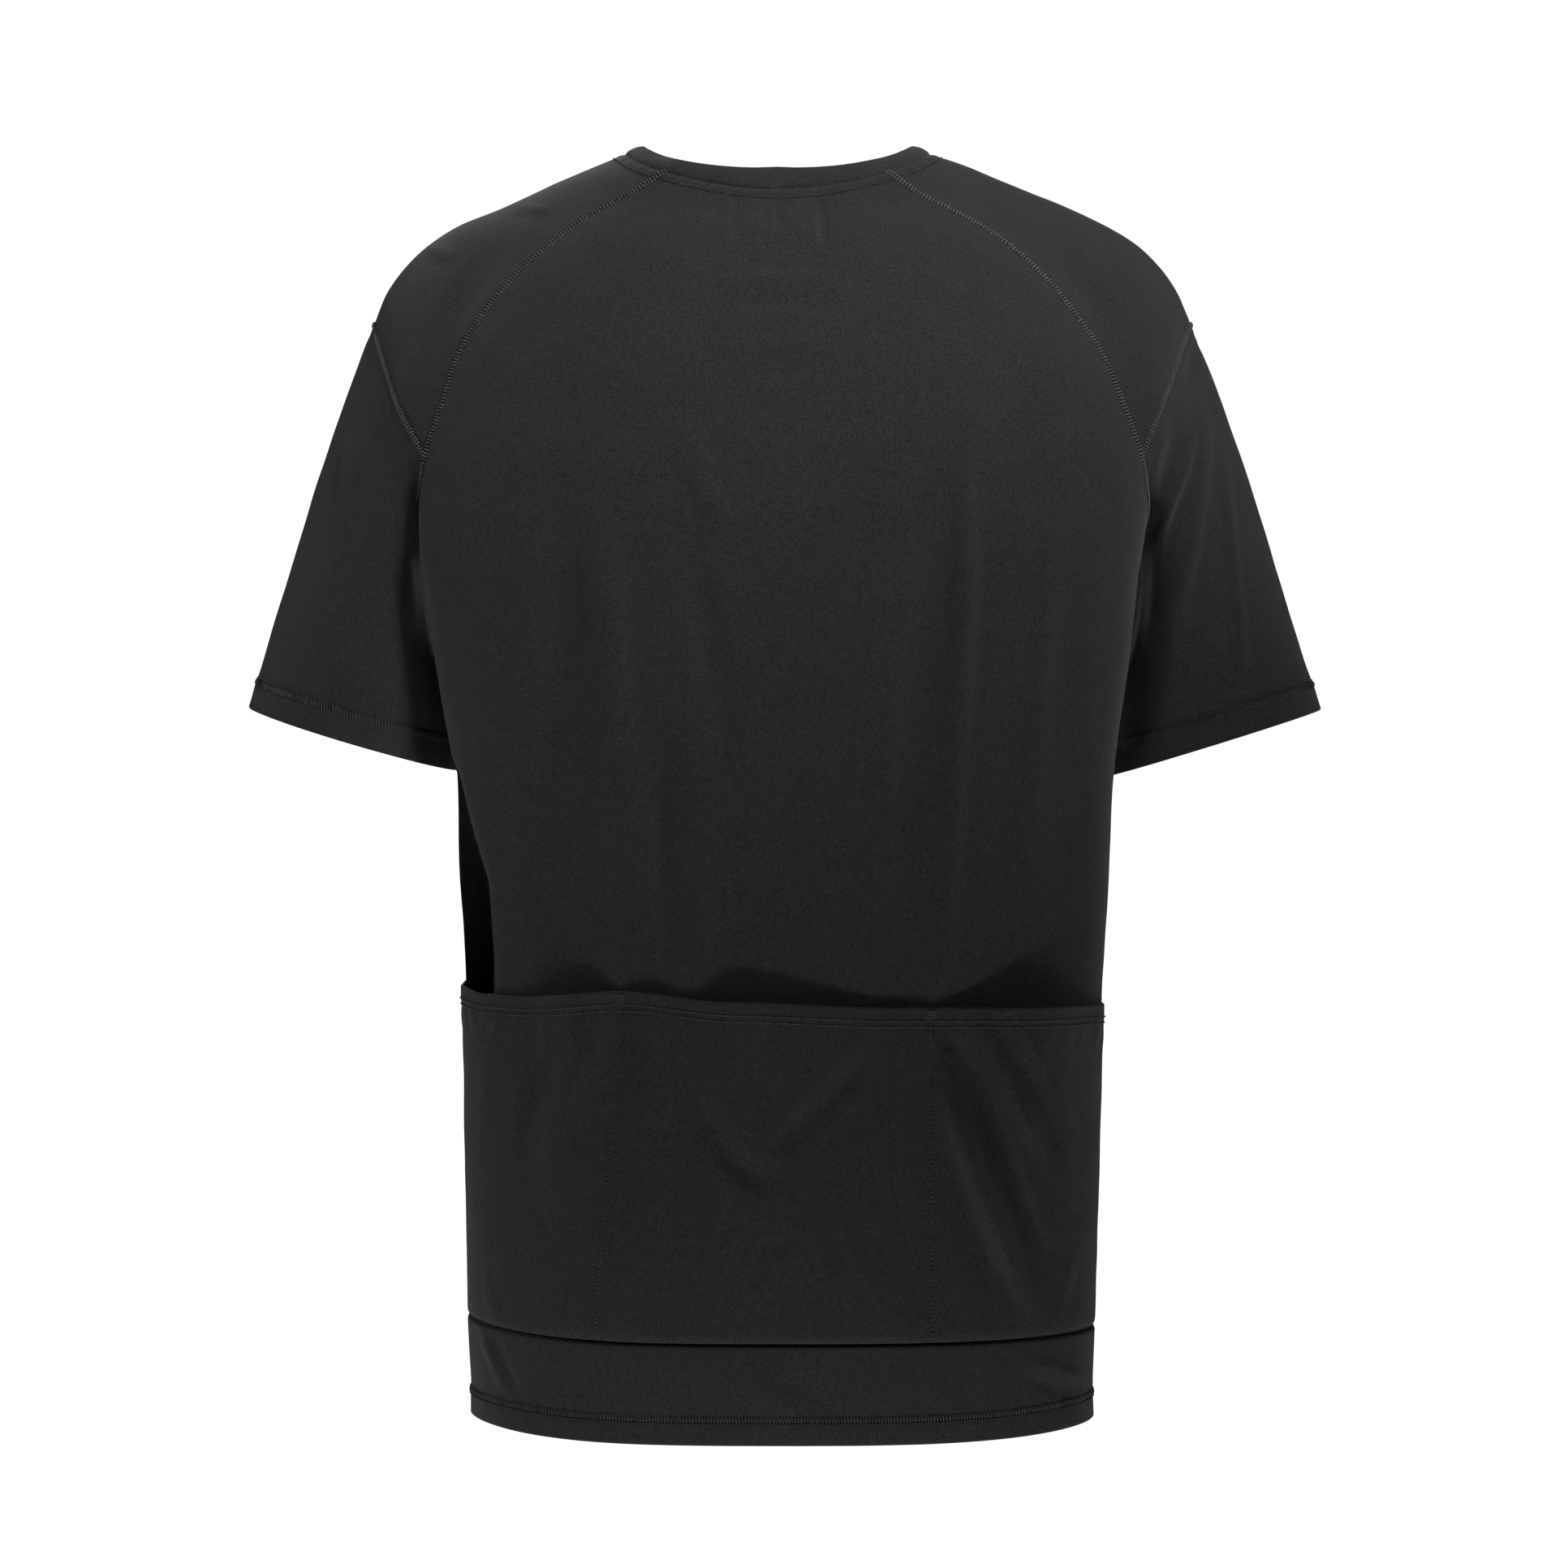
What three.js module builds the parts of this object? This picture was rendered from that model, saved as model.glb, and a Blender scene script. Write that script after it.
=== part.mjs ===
// A short-sleeved cycling jersey with a crew neck and three open back pockets,
// filled out as it is when worn. Millimetres, +Z up. The back of the garment faces
// +Y, the front faces -Y and the wearer's left is +X. The origin lies midway between
// the two high shoulder points, at the base of the neck.
import * as THREE from "three";

// Driving sizes.
const CLOTH = 1.2;
const FOLDED_CLOTH = 2.2;
const SEAM_GAP = 0.3;
const POCKET_SEAT = 0.5;
const ARM_CLEARANCE = 3;
const ARMHOLE_CLEARANCE = 0.8;
const SEAM_FADE = 22;

// How finely the pieces are divided.
const BACK_COLUMNS = 36;
const FRONT_COLUMNS = 20;
const RAGLAN_ROWS = 8;
const ARMHOLE_ROWS = 4;
const SIDE_ROWS = 16;
const HEM_ROWS = 3;
const YOKE_COLUMNS = 14;
const SLEEVE_ROWS = 11;
const POCKET_ROWS = 8;

// How square the back half of a section is: 2 is an ellipse, more is squarer. The front
// half has its own in the tables.
const BACK_SQUARENESS = 2.5;
// How sharply a row turns up from its middle towards its ends, near the neck and below.
const NECK_BEND = 2;
const HEM_BEND = 4;

// Sections from the neck to the underarm. edge is the height of the row at its seam and
// middle its height on the centre line, where depth is how far it stands from the
// origin. left and right are the half widths that the section would reach at its widest
// line, widest is where that line lies, and seam is where the row stops.
const UPPER_BACK = [
  { edge: -15, middle: -25.7, left: 93, right: 91, depth: 63, widest: 0, seam: 52 },
  { edge: -28, middle: -37, left: 112, right: 108, depth: 70, widest: 0, seam: 54 },
  { edge: -44, middle: -50, left: 139, right: 138, depth: 80, widest: 0, seam: 57 },
  { edge: -59, middle: -63, left: 158, right: 160, depth: 88, widest: 0, seam: 60 },
  { edge: -80, middle: -82, left: 175, right: 177, depth: 97, widest: 8, seam: 63 },
  { edge: -103, middle: -104, left: 189, right: 191, depth: 105, widest: 15, seam: 66 },
  { edge: -123, middle: -123, left: 196, right: 200, depth: 111, widest: 20, seam: 68 },
  { edge: -146, middle: -146, left: 200, right: 206, depth: 116, widest: 27, seam: 70 },
  { edge: -176, middle: -176, left: 203.5, right: 210, depth: 121, widest: 35, seam: 67 },
  { edge: -192, middle: -192, left: 201.5, right: 208, depth: 122, widest: 40, seam: 58 },
  { edge: -207, middle: -207, left: 201.5, right: 207.5, depth: 123, widest: 44, seam: 42 },
  { edge: -219, middle: -219, left: 201, right: 206, depth: 123, widest: 47, seam: 22 },
  { edge: -227, middle: -227, left: 200.5, right: 204.5, depth: 123, widest: 50, seam: 0 },
];
const UPPER_FRONT = [
  { edge: -38, middle: -95, left: 84, right: 84, depth: -84, widest: 0, square: 2.4, seam: -41 },
  { edge: -52, middle: -105, left: 108, right: 108, depth: -89, widest: 3, square: 2.4, seam: -48 },
  { edge: -70, middle: -117, left: 135, right: 135, depth: -95, widest: 8, square: 2.4, seam: -54 },
  { edge: -91, middle: -131, left: 161, right: 162, depth: -102, widest: 13, square: 2.4, seam: -59 },
  { edge: -113, middle: -146, left: 183, right: 185, depth: -108, widest: 19, square: 2.4, seam: -61 },
  { edge: -135, middle: -161, left: 199, right: 202, depth: -113, widest: 25, square: 2.4, seam: -61 },
  { edge: -152, middle: -173, left: 205, right: 209, depth: -117, widest: 30, square: 2.4, seam: -60 },
  { edge: -168, middle: -185, left: 209, right: 213, depth: -120, widest: 35, square: 2.4, seam: -58 },
  { edge: -186, middle: -197, left: 210, right: 214, depth: -122, widest: 39, square: 2.35, seam: -50 },
  { edge: -203, middle: -209, left: 207, right: 211, depth: -124, widest: 43, square: 2.3, seam: -36 },
  { edge: -218, middle: -219, left: 203.5, right: 207.5, depth: -125, widest: 47, square: 2.25, seam: -18 },
  { edge: -227, middle: -227, left: 200.5, right: 204.5, depth: -126, widest: 50, square: 2.2, seam: 0 },
];
const JUNCTION_BACK = 8;
const JUNCTION_FRONT = 7;

// Closed sections from the underarm to the hem, with the depth of the back and of the
// front on the centre line, and the seam at the side.
const LOWER = [
  { edge: -227, left: 200.5, right: 204.5, back: 123, front: -126, widest: 50, square: 2.2, seam: 0 },
  { edge: -250, left: 197.5, right: 201, back: 122, front: -128, widest: 50, square: 2.15, seam: 4 },
  { edge: -300, left: 190.5, right: 195.5, back: 117, front: -128, widest: 48, square: 2.05, seam: 9 },
  { edge: -350, left: 182, right: 188.5, back: 113, front: -124, widest: 45, square: 2, seam: 12 },
  { edge: -410, left: 180, right: 186, back: 109, front: -120, widest: 41, square: 2, seam: 14 },
  { edge: -475, left: 176.5, right: 182.5, back: 108, front: -117, widest: 37, square: 2.05, seam: 15 },
  { edge: -550, left: 175, right: 180.5, back: 110, front: -115, widest: 33, square: 2.1, seam: 15 },
  { edge: -660, left: 173.5, right: 177.5, back: 115, front: -115, widest: 28, square: 2.15, seam: 14 },
  { edge: -712, left: 173, right: 178, back: 118, front: -117, widest: 25, square: 2.15, seam: 12 },
];
const BAND_SEAM = { left: -657, right: -663, middle: -666 };
const HEM = { left: -711, right: -713, middleBack: -720, middleFront: -718 };

// How the neckband leans from its seam to its top edge, at the centre back, at the
// shoulder and at the centre front.
const NECKBAND = [
  { inwards: 0, y: -7, z: 13 },
  { inwards: 10.3, y: -1, z: 4.5 },
  { inwards: 0, y: 7, z: 12 },
];

// The top line of the shoulder, from the neckline to the cap seam.
const RIDGE = [
  { left: 87, right: 87, y: 4, zLeft: 0, zRight: 0 },
  { left: 115, right: 112, y: 1, zLeft: -11.5, zRight: -8.5 },
  { left: 152, right: 149, y: -3, zLeft: -27.5, zRight: -22.5 },
  { left: 182, right: 180, y: -5, zLeft: -39, zRight: -36 },
  { left: 204, right: 207, y: -5, zLeft: -54, zRight: -51.5 },
  { left: 221.5, right: 227, y: -4, zLeft: -76, zRight: -74.5 },
  { left: 230, right: 235.5, y: -3, zLeft: -96, zRight: -94 },
];

// The cap seam across the arm, from the back junction over the top to the front one.
const CAP = [
  { left: 211, right: 213.5, y: 57, z: -149 },
  { left: 218, right: 221, y: 43, z: -131 },
  { left: 226, right: 229.5, y: 20, z: -109 },
  { left: 230, right: 235.5, y: -3, z: -96 },
  { left: 227, right: 230, y: -26, z: -106 },
  { left: 217, right: 220.5, y: -43, z: -125 },
  { left: 207, right: 210, y: -53, z: -145 },
];

// The cuff rings: the centre, the arm towards the outer edge, and half the depth.
const CUFF = {
  left: { x: 241.5, y: -12, z: -331.5, outX: 60.5, outZ: 18, depth: 56, sag: 3 },
  right: { x: 249, y: -12, z: -334, outX: 61, outZ: 19, depth: 56, sag: 0.5 },
};
// The way round the ring, in degrees, at which the sleeve columns from the ends of the
// cap seam arrive.
const JUNCTION_TURN = 62;
// How full the curves over the shoulder and along the sleeve are, the way that a sleeve
// leaves the body at the underarm, and how much its rows crowd towards the armhole.
const SHOULDER_FULLNESS = 1.15;
const SLEEVE_FULLNESS = 0.8;
const CUFF_FULLNESS = 0.9;
const UNDERARM_WAY = { out: 0.85, up: -0.53 };
const ROW_CROWDING = 0.01;
// From this height down, over this distance, a sleeve is kept clear of the body.
const BESIDE_BODY = { top: -198, over: 25 };

// The pocket mouth by its place across the back, and how far it stands off.
const MOUTH = [
  { x: 178, z: -469 },
  { x: 139, z: -476 },
  { x: 86, z: -472.5 },
  { x: 28, z: -478 },
  { x: -65, z: -481.5 },
  { x: -185, z: -481.5 },
];
const DIVIDERS = { leftTop: 85.5, leftBottom: 101, rightTop: -84, rightBottom: -85 };
const POCKET_LIFT = { left: 17, middle: 17, right: 21 };
// The columns at each side of the pocket panel that lie flat.
const FLAT_COLUMNS = 4;

// Folds: the piece, the two ends across and up, half the width, and the rise, below
// zero for a trough.
const FOLDS = [
  { on: "back", x0: 108, z0: -200, x1: 104, z1: -462, half: 26, rise: 5 },
  { on: "back", x0: 122, z0: -190, x1: 126, z1: -468, half: 22, rise: -5 },
  { on: "back", x0: 44, z0: -190, x1: 30, z1: -330, half: 24, rise: -5 },
  { on: "back", x0: 62, z0: -330, x1: 66, z1: -470, half: 18, rise: -3 },
  { on: "back", x0: -72, z0: -180, x1: -82, z1: -455, half: 20, rise: -5 },
  { on: "back", x0: -98, z0: -180, x1: -92, z1: -470, half: 20, rise: 4 },
  { on: "back", x0: -162, z0: -215, x1: -160, z1: -440, half: 16, rise: -3 },
  { on: "back", x0: -60, z0: -95, x1: 50, z1: -95, half: 24, rise: -3 },
  { on: "valley", x0: 170, z0: -338, x1: 165, z1: -560, half: 11, rise: -20 },
  { on: "pocket", x0: -104, z0: -495, x1: -158, z1: -655, half: 15, rise: -5 },
  { on: "pocket", x0: -92, z0: -500, x1: -138, z1: -645, half: 14, rise: 4 },
  { on: "pocket", x0: -62, z0: -500, x1: 2, z1: -570, half: 14, rise: -4 },
  { on: "pocket", x0: 38, z0: -500, x1: -8, z1: -590, half: 14, rise: -4 },
  { on: "pocket", x0: 98, z0: -490, x1: 136, z1: -580, half: 14, rise: -4 },
  { on: "front", x0: 80, z0: -210, x1: 66, z1: -560, half: 26, rise: -5 },
  { on: "front", x0: 108, z0: -220, x1: 98, z1: -600, half: 22, rise: 4 },
  { on: "front", x0: -76, z0: -220, x1: -84, z1: -600, half: 24, rise: -5 },
  { on: "front", x0: -112, z0: -240, x1: -108, z1: -520, half: 20, rise: 4 },
  { on: "front", x0: 10, z0: -260, x1: 4, z1: -620, half: 24, rise: -3 },
  { on: "sleeve_left", x0: 222, z0: -140, x1: 205, z1: -260, half: 14, rise: -4 },
  { on: "sleeve_left", x0: 243, z0: -150, x1: 252, z1: -280, half: 12, rise: 3 },
  { on: "sleeve_right", x0: -230, z0: -140, x1: -214, z1: -260, half: 14, rise: -4 },
  { on: "sleeve_right", x0: -240, z0: -140, x1: -234, z1: -290, half: 12, rise: 3 },
];

// Colour of the knit, as roughness and colour over the whole garment.
const KNIT = { color: 0x2b2b2e, roughness: 0.9, metalness: 0 };
const RIBBED = { color: 0x303033, roughness: 0.92, metalness: 0 };

const SIDES = { left: 1, right: -1 };
const DEGREE = Math.PI / 180;

const point = (x, y, z) => new THREE.Vector3(x, y, z);
const clamp01 = (value) => Math.min(1, Math.max(0, value));

function smooth(value) {
  const t = clamp01(value);
  return t * t * (3 - 2 * t);
}

// A smooth curve through one column of a table; place counts its rows.
function along(table, column, place) {
  const last = table.length - 1;
  const at = Math.min(Math.max(place, 0), last);
  const i = Math.min(Math.floor(at), last - 1);
  const t = at - i;
  const value = (row) => table[Math.min(Math.max(row, 0), last)][column];
  const slope = (row) => (value(row + 1) - value(row - 1)) / (row > 0 && row < last ? 2 : 1);
  const rise = value(i + 1) - value(i);
  const a = slope(i) - rise;
  const b = rise - slope(i + 1);
  return value(i) + t * rise + t * (1 - t) * ((1 - t) * a + t * b);
}

// The row of a table at which a falling column reaches a value.
function placeOf(table, column, target) {
  let low = 0;
  let high = table.length - 1;
  for (let step = 0; step < 40; step += 1) {
    const middle = (low + high) / 2;
    if (along(table, column, middle) > target) low = middle;
    else high = middle;
  }
  return (low + high) / 2;
}

// Points at even distances along a line of points.
function evenly(line, count) {
  const lengths = [0];
  for (let i = 1; i < line.length; i += 1) {
    lengths.push(lengths[i - 1] + line[i].distanceTo(line[i - 1]));
  }
  const total = lengths[lengths.length - 1];
  const result = [];
  let i = 1;
  for (let k = 0; k <= count; k += 1) {
    const wanted = (total * k) / count;
    while (i < line.length - 1 && lengths[i] < wanted) i += 1;
    const part = (wanted - lengths[i - 1]) / (lengths[i] - lengths[i - 1]);
    result.push(line[i - 1].clone().lerp(line[i], clamp01(part)));
  }
  return result;
}

// Half the width of a section at a depth y, on its curve from the widest line outwards.
function widthAt(y, half, widest, depth, squareness) {
  const part = clamp01((y - widest) / (depth - widest));
  return half * (1 - part ** squareness) ** (1 / squareness);
}

// One row of a panel on one side, from the centre line to its seam. A back row whose
// seam lies in front of the widest line goes on along the front curve.
function halfRow(section, side, facing) {
  const half = section[side];
  const own = facing === "back" ? section.back : section.front;
  const squareness = facing === "back" ? BACK_SQUARENESS : section.square;
  const line = [];
  const past = facing === "back" && section.seam < section.widest;
  const stop = past ? section.widest : section.seam;
  const stopPart = clamp01((stop - section.widest) / (own - section.widest));
  const end = Math.acos(stopPart ** (squareness / 2));
  const steps = 60;
  for (let i = 0; i <= steps; i += 1) {
    const turn = (end * i) / steps;
    const y = section.widest + (own - section.widest) * Math.cos(turn) ** (2 / squareness);
    line.push(point(half * Math.sin(turn) ** (2 / squareness), y, 0));
  }
  if (past) {
    const depth = section.front;
    for (let i = 1; i <= steps / 2; i += 1) {
      const y = section.widest + ((section.seam - section.widest) * i) / (steps / 2);
      line.push(point(widthAt(y, half, section.widest, depth, section.square), y, 0));
    }
  }
  const reach = line[line.length - 1].x;
  for (const p of line) {
    const out = Math.min(1, p.x / reach);
    p.z = section.middle + (section.edge - section.middle) * out ** section.bend;
    p.x *= SIDES[side];
  }
  return line;
}

// A whole row, from the left seam over the centre line to the right seam.
function fullRow(sections, facing, columns) {
  const left = evenly(halfRow(sections.left, "left", facing), columns / 2).reverse();
  const right = evenly(halfRow(sections.right, "right", facing), columns / 2);
  return left.concat(right.slice(1));
}

function upperSection(table, place, facing) {
  const section = { [facing]: along(table, "depth", place), bend: NECK_BEND };
  for (const name of ["edge", "middle", "left", "right", "widest", "seam"]) {
    section[name] = along(table, name, place);
  }
  const { front, square } = LOWER[0];
  if (facing === "back") return { ...section, front, square };
  section.square = along(table, "square", place);
  return section;
}

// A section below the underarm, by the height of its seam on one side.
function lowerSection(edge, middle) {
  const place = placeOf(LOWER, "edge", edge);
  const section = { edge, middle, bend: HEM_BEND };
  for (const name of ["left", "right", "back", "front", "widest", "square", "seam"]) {
    section[name] = along(LOWER, name, place);
  }
  return section;
}

// The rows of a table at which its left seam is evenly divided.
function evenPlaces(table, facing, from, to, count) {
  const line = [];
  const places = [];
  const steps = 80;
  for (let i = 0; i <= steps; i += 1) {
    const place = from + ((to - from) * i) / steps;
    const row = halfRow(upperSection(table, place, facing), "left", facing);
    line.push(row[row.length - 1]);
    places.push(place);
  }
  const lengths = [0];
  for (let i = 1; i <= steps; i += 1) lengths.push(lengths[i - 1] + line[i].distanceTo(line[i - 1]));
  const result = [];
  for (let k = 0; k <= count; k += 1) {
    const wanted = (lengths[steps] * k) / count;
    let i = 1;
    while (i < steps && lengths[i] < wanted) i += 1;
    const part = clamp01((wanted - lengths[i - 1]) / (lengths[i] - lengths[i - 1]));
    result.push(places[i - 1] + (places[i] - places[i - 1]) * part);
  }
  return result;
}

function upperPlaces(table, facing, junction) {
  const raglan = evenPlaces(table, facing, 0, junction, RAGLAN_ROWS);
  const armhole = evenPlaces(table, facing, junction, table.length - 1, ARMHOLE_ROWS);
  return raglan.concat(armhole.slice(1));
}

// Heights of the rows below the underarm: at the left seam, at the right seam and on
// the centre line.
function lowerHeights(middleHem) {
  const top = LOWER[0].edge;
  const heights = [];
  for (let i = 1; i <= SIDE_ROWS + HEM_ROWS; i += 1) {
    const inBand = i > SIDE_ROWS;
    const part = inBand ? (i - SIDE_ROWS) / HEM_ROWS : i / SIDE_ROWS;
    const from = inBand ? BAND_SEAM : { left: top, right: top, middle: top };
    const to = inBand ? { ...HEM, middle: middleHem } : BAND_SEAM;
    const height = {};
    for (const name of ["left", "right", "middle"]) {
      height[name] = from[name] + (to[name] - from[name]) * part;
    }
    heights.push(height);
  }
  return heights;
}

function lowerRows(facing, columns, middleHem) {
  return lowerHeights(middleHem).map((height) => {
    const left = lowerSection(height.left, height.middle);
    const right = lowerSection(height.right, height.middle);
    return fullRow({ left, right }, facing, columns);
  });
}

function upperRows(table, facing, junction, columns) {
  return upperPlaces(table, facing, junction).map((place) => {
    const section = upperSection(table, place, facing);
    return fullRow({ left: section, right: section }, facing, columns);
  });
}

// The body panels, row by row. Neighbours share the points of their seam.
const underarmRow = RAGLAN_ROWS + ARMHOLE_ROWS;
const bandRow = underarmRow + SIDE_ROWS;
const backAndBand = upperRows(UPPER_BACK, "back", JUNCTION_BACK, BACK_COLUMNS)
  .concat(lowerRows("back", BACK_COLUMNS, HEM.middleBack));
const backRows = backAndBand.slice(0, bandRow + 1);
const bandRows = backAndBand.slice(bandRow);
const frontRows = upperRows(UPPER_FRONT, "front", JUNCTION_FRONT, FRONT_COLUMNS)
  .concat(lowerRows("front", FRONT_COLUMNS, HEM.middleFront));
for (let i = underarmRow; i < frontRows.length; i += 1) {
  frontRows[i][0] = backAndBand[i][0];
  frontRows[i][FRONT_COLUMNS] = backAndBand[i][BACK_COLUMNS];
}

function hermite(from, leave, to, arrive, t) {
  const u = 1 - t;
  return from.clone().multiplyScalar(u * u * (1 + 2 * t))
    .addScaledVector(leave, u * u * t)
    .addScaledVector(to, t * t * (3 - 2 * t))
    .addScaledVector(arrive, -u * t * t);
}

function edgeOf(rows, side, inwards) {
  const last = rows[0].length - 1;
  const column = side === "left" ? inwards : last - inwards;
  return rows.map((row) => row[column]);
}

// The direction in a panel's surface that leaves it square to its seam.
function leaving(seam, inner, i) {
  const before = seam[Math.max(i - 1, 0)];
  const after = seam[Math.min(i + 1, seam.length - 1)];
  const run = after.clone().sub(before).normalize();
  const out = seam[i].clone().sub(inner[i]).normalize();
  return out.addScaledVector(run, -out.dot(run)).normalize();
}

function tableLine(table, side, height) {
  const line = [];
  const steps = 12 * (table.length - 1);
  for (let i = 0; i <= steps; i += 1) {
    const place = (i * (table.length - 1)) / steps;
    const x = along(table, side, place) * SIDES[side];
    line.push(point(x, along(table, "y", place), along(table, height, place)));
  }
  return line;
}

// The shoulder piece: arches from the back raglan seam over the ridge to the front one.
function yokeRows(side) {
  const back = edgeOf(backRows, side, 0);
  const backInner = edgeOf(backRows, side, 1);
  const front = edgeOf(frontRows, side, 0);
  const frontInner = edgeOf(frontRows, side, 1);
  const ridge = evenly(tableLine(RIDGE, side, side === "left" ? "zLeft" : "zRight"), RAGLAN_ROWS);
  const cap = capLine(side, back[RAGLAN_ROWS], front[RAGLAN_ROWS]);
  const half = YOKE_COLUMNS / 2;
  const rows = [];
  for (let i = 0; i <= RAGLAN_ROWS; i += 1) {
    const square = smooth((3 * i) / RAGLAN_ROWS);
    const ends = [[back, backInner], [front, frontInner]].map(([seam, inner]) => {
      const rowWay = seam[i].clone().sub(inner[i]).normalize();
      return rowWay.lerp(leaving(seam, inner, i), square).normalize();
    });
    const over = point(0, -1, 0);
    const arch = [];
    for (let j = 0; j <= YOKE_COLUMNS; j += 1) {
      const isBack = j <= half;
      const seam = isBack ? back[i] : front[i];
      const reach = seam.distanceTo(ridge[i]) * SHOULDER_FULLNESS;
      const leave = ends[isBack ? 0 : 1].clone().multiplyScalar(reach);
      const arrive = over.clone().multiplyScalar(isBack ? reach : -reach);
      const t = isBack ? j / half : (YOKE_COLUMNS - j) / half;
      arch.push(hermite(seam, leave, ridge[i], arrive, t));
    }
    rows.push(evenly(arch, YOKE_COLUMNS));
    rows[i][0] = back[i];
    rows[i][YOKE_COLUMNS] = front[i];
  }
  const last = rows[RAGLAN_ROWS].map((p) => p.clone());
  for (let i = 1; i <= RAGLAN_ROWS; i += 1) {
    const pull = (i / RAGLAN_ROWS) ** 3;
    for (let j = 1; j < YOKE_COLUMNS; j += 1) {
      rows[i][j].addScaledVector(cap[j].clone().sub(last[j]), pull);
    }
  }
  return rows;
}

// The cap seam, from the back junction over the arm to the front junction.
function capLine(side, from, to) {
  const points = [from];
  for (const row of CAP) points.push(point(row[side] * SIDES[side], row.y, row.z));
  points.push(to);
  const curve = new THREE.CatmullRomCurve3(points, false, "centripetal");
  return evenly(curve.getPoints(160), YOKE_COLUMNS);
}

// How far out a sleeve must lie beside the body at a depth and a height.
function besideBody(side, y, z) {
  const section = lowerSection(Math.min(z, LOWER[0].edge), z);
  const isBack = y >= section.widest;
  const depth = isBack ? section.back : section.front;
  const squareness = isBack ? BACK_SQUARENESS : section.square;
  return widthAt(y, section[side], section.widest, depth, squareness);
}

// The sleeve: lengthwise curves from the armhole and the cap seam to the cuff ring,
// kept clear of the body.
function sleeveRows(side, yoke) {
  const sign = SIDES[side];
  const back = edgeOf(backRows, side, 0);
  const front = edgeOf(frontRows, side, 0);
  const start = [];
  const leave = [];
  const turns = [];
  const underarmWay = point(UNDERARM_WAY.out * sign, 0, UNDERARM_WAY.up);
  const lastYoke = yoke[RAGLAN_ROWS];
  const beforeYoke = yoke[RAGLAN_ROWS - 1];
  const armhole = (seam, junctionColumn, isBack) => {
    const way = lastYoke[junctionColumn].clone().sub(beforeYoke[junctionColumn]).normalize();
    for (let k = 0; k <= ARMHOLE_ROWS; k += 1) {
      const step = isBack ? k : ARMHOLE_ROWS - k;
      if (!isBack && k === ARMHOLE_ROWS) break;
      if (!isBack && k === 0) continue;
      const part = step / ARMHOLE_ROWS;
      start.push(seam[underarmRow - step]);
      leave.push(underarmWay.clone().lerp(way, part).normalize());
      turns.push(isBack ? JUNCTION_TURN * part : 360 - JUNCTION_TURN * part);
    }
  };
  armhole(back, 0, true);
  for (let j = 1; j <= YOKE_COLUMNS; j += 1) {
    start.push(lastYoke[j]);
    leave.push(lastYoke[j].clone().sub(beforeYoke[j]).normalize());
    turns.push(JUNCTION_TURN + ((360 - 2 * JUNCTION_TURN) * j) / YOKE_COLUMNS);
  }
  armhole(front, YOKE_COLUMNS, false);
  const cuff = CUFF[side];
  const axis = point(cuff.outZ * sign, 0, -cuff.outX).normalize();
  const rows = [start];
  for (let i = 1; i <= SLEEVE_ROWS; i += 1) {
    const v = (i / SLEEVE_ROWS) * (1 + ROW_CROWDING * (SLEEVE_ROWS - i));
    rows.push(start.map((from, k) => {
      const turn = turns[k] * DEGREE;
      const out = -Math.cos(turn);
      const across = Math.sin(turn);
      const to = point(sign * (cuff.x + cuff.outX * out), cuff.y + cuff.depth * across,
        cuff.z + cuff.outZ * out - cuff.sag * Math.abs(across));
      const reach = from.distanceTo(to);
      const p = hermite(from, leave[k].clone().multiplyScalar(reach * SLEEVE_FULLNESS), to,
        axis.clone().multiplyScalar(reach * CUFF_FULLNESS), v);
      const clear = besideBody(side, p.y, p.z) + ARMHOLE_CLEARANCE
        + (ARM_CLEARANCE - ARMHOLE_CLEARANCE) * smooth(v * 4);
      const low = smooth((BESIDE_BODY.top - p.z) / BESIDE_BODY.over);
      const x = Math.abs(p.x);
      const pushed = (x + clear + Math.hypot(x - clear, 2)) / 2;
      p.x = sign * (x + (pushed - x) * low);
      return p;
    }));
  }
  return rows;
}

const yokes = { left: yokeRows("left"), right: yokeRows("right") };
const sleeves = { left: sleeveRows("left", yokes.left), right: sleeveRows("right", yokes.right) };

// The neckband: once round the neckline, starting at the left end of the back.
function neckbandRows() {
  const ring = [...backRows[0]];
  ring.push(...yokes.right[0].slice(1));
  ring.push(...[...frontRows[0]].reverse().slice(1));
  ring.push(...[...yokes.left[0]].reverse().slice(1, -1));
  const top = ring.map((p) => {
    const shoulder = yokes[p.x > 0 ? "left" : "right"][0][YOKE_COLUMNS / 2];
    const toCentre = clamp01(Math.abs(p.x) / Math.abs(shoulder.x));
    const turn = Math.asin(toCentre) / (90 * DEGREE);
    const place = p.y > shoulder.y ? turn : 2 - turn;
    const lean = point(-Math.sign(p.x) * along(NECKBAND, "inwards", place),
      along(NECKBAND, "y", place), along(NECKBAND, "z", place));
    return p.clone().add(lean);
  });
  const middle = ring.map((p, k) => p.clone().lerp(top[k], 0.5));
  return [ring, middle, top];
}

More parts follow.
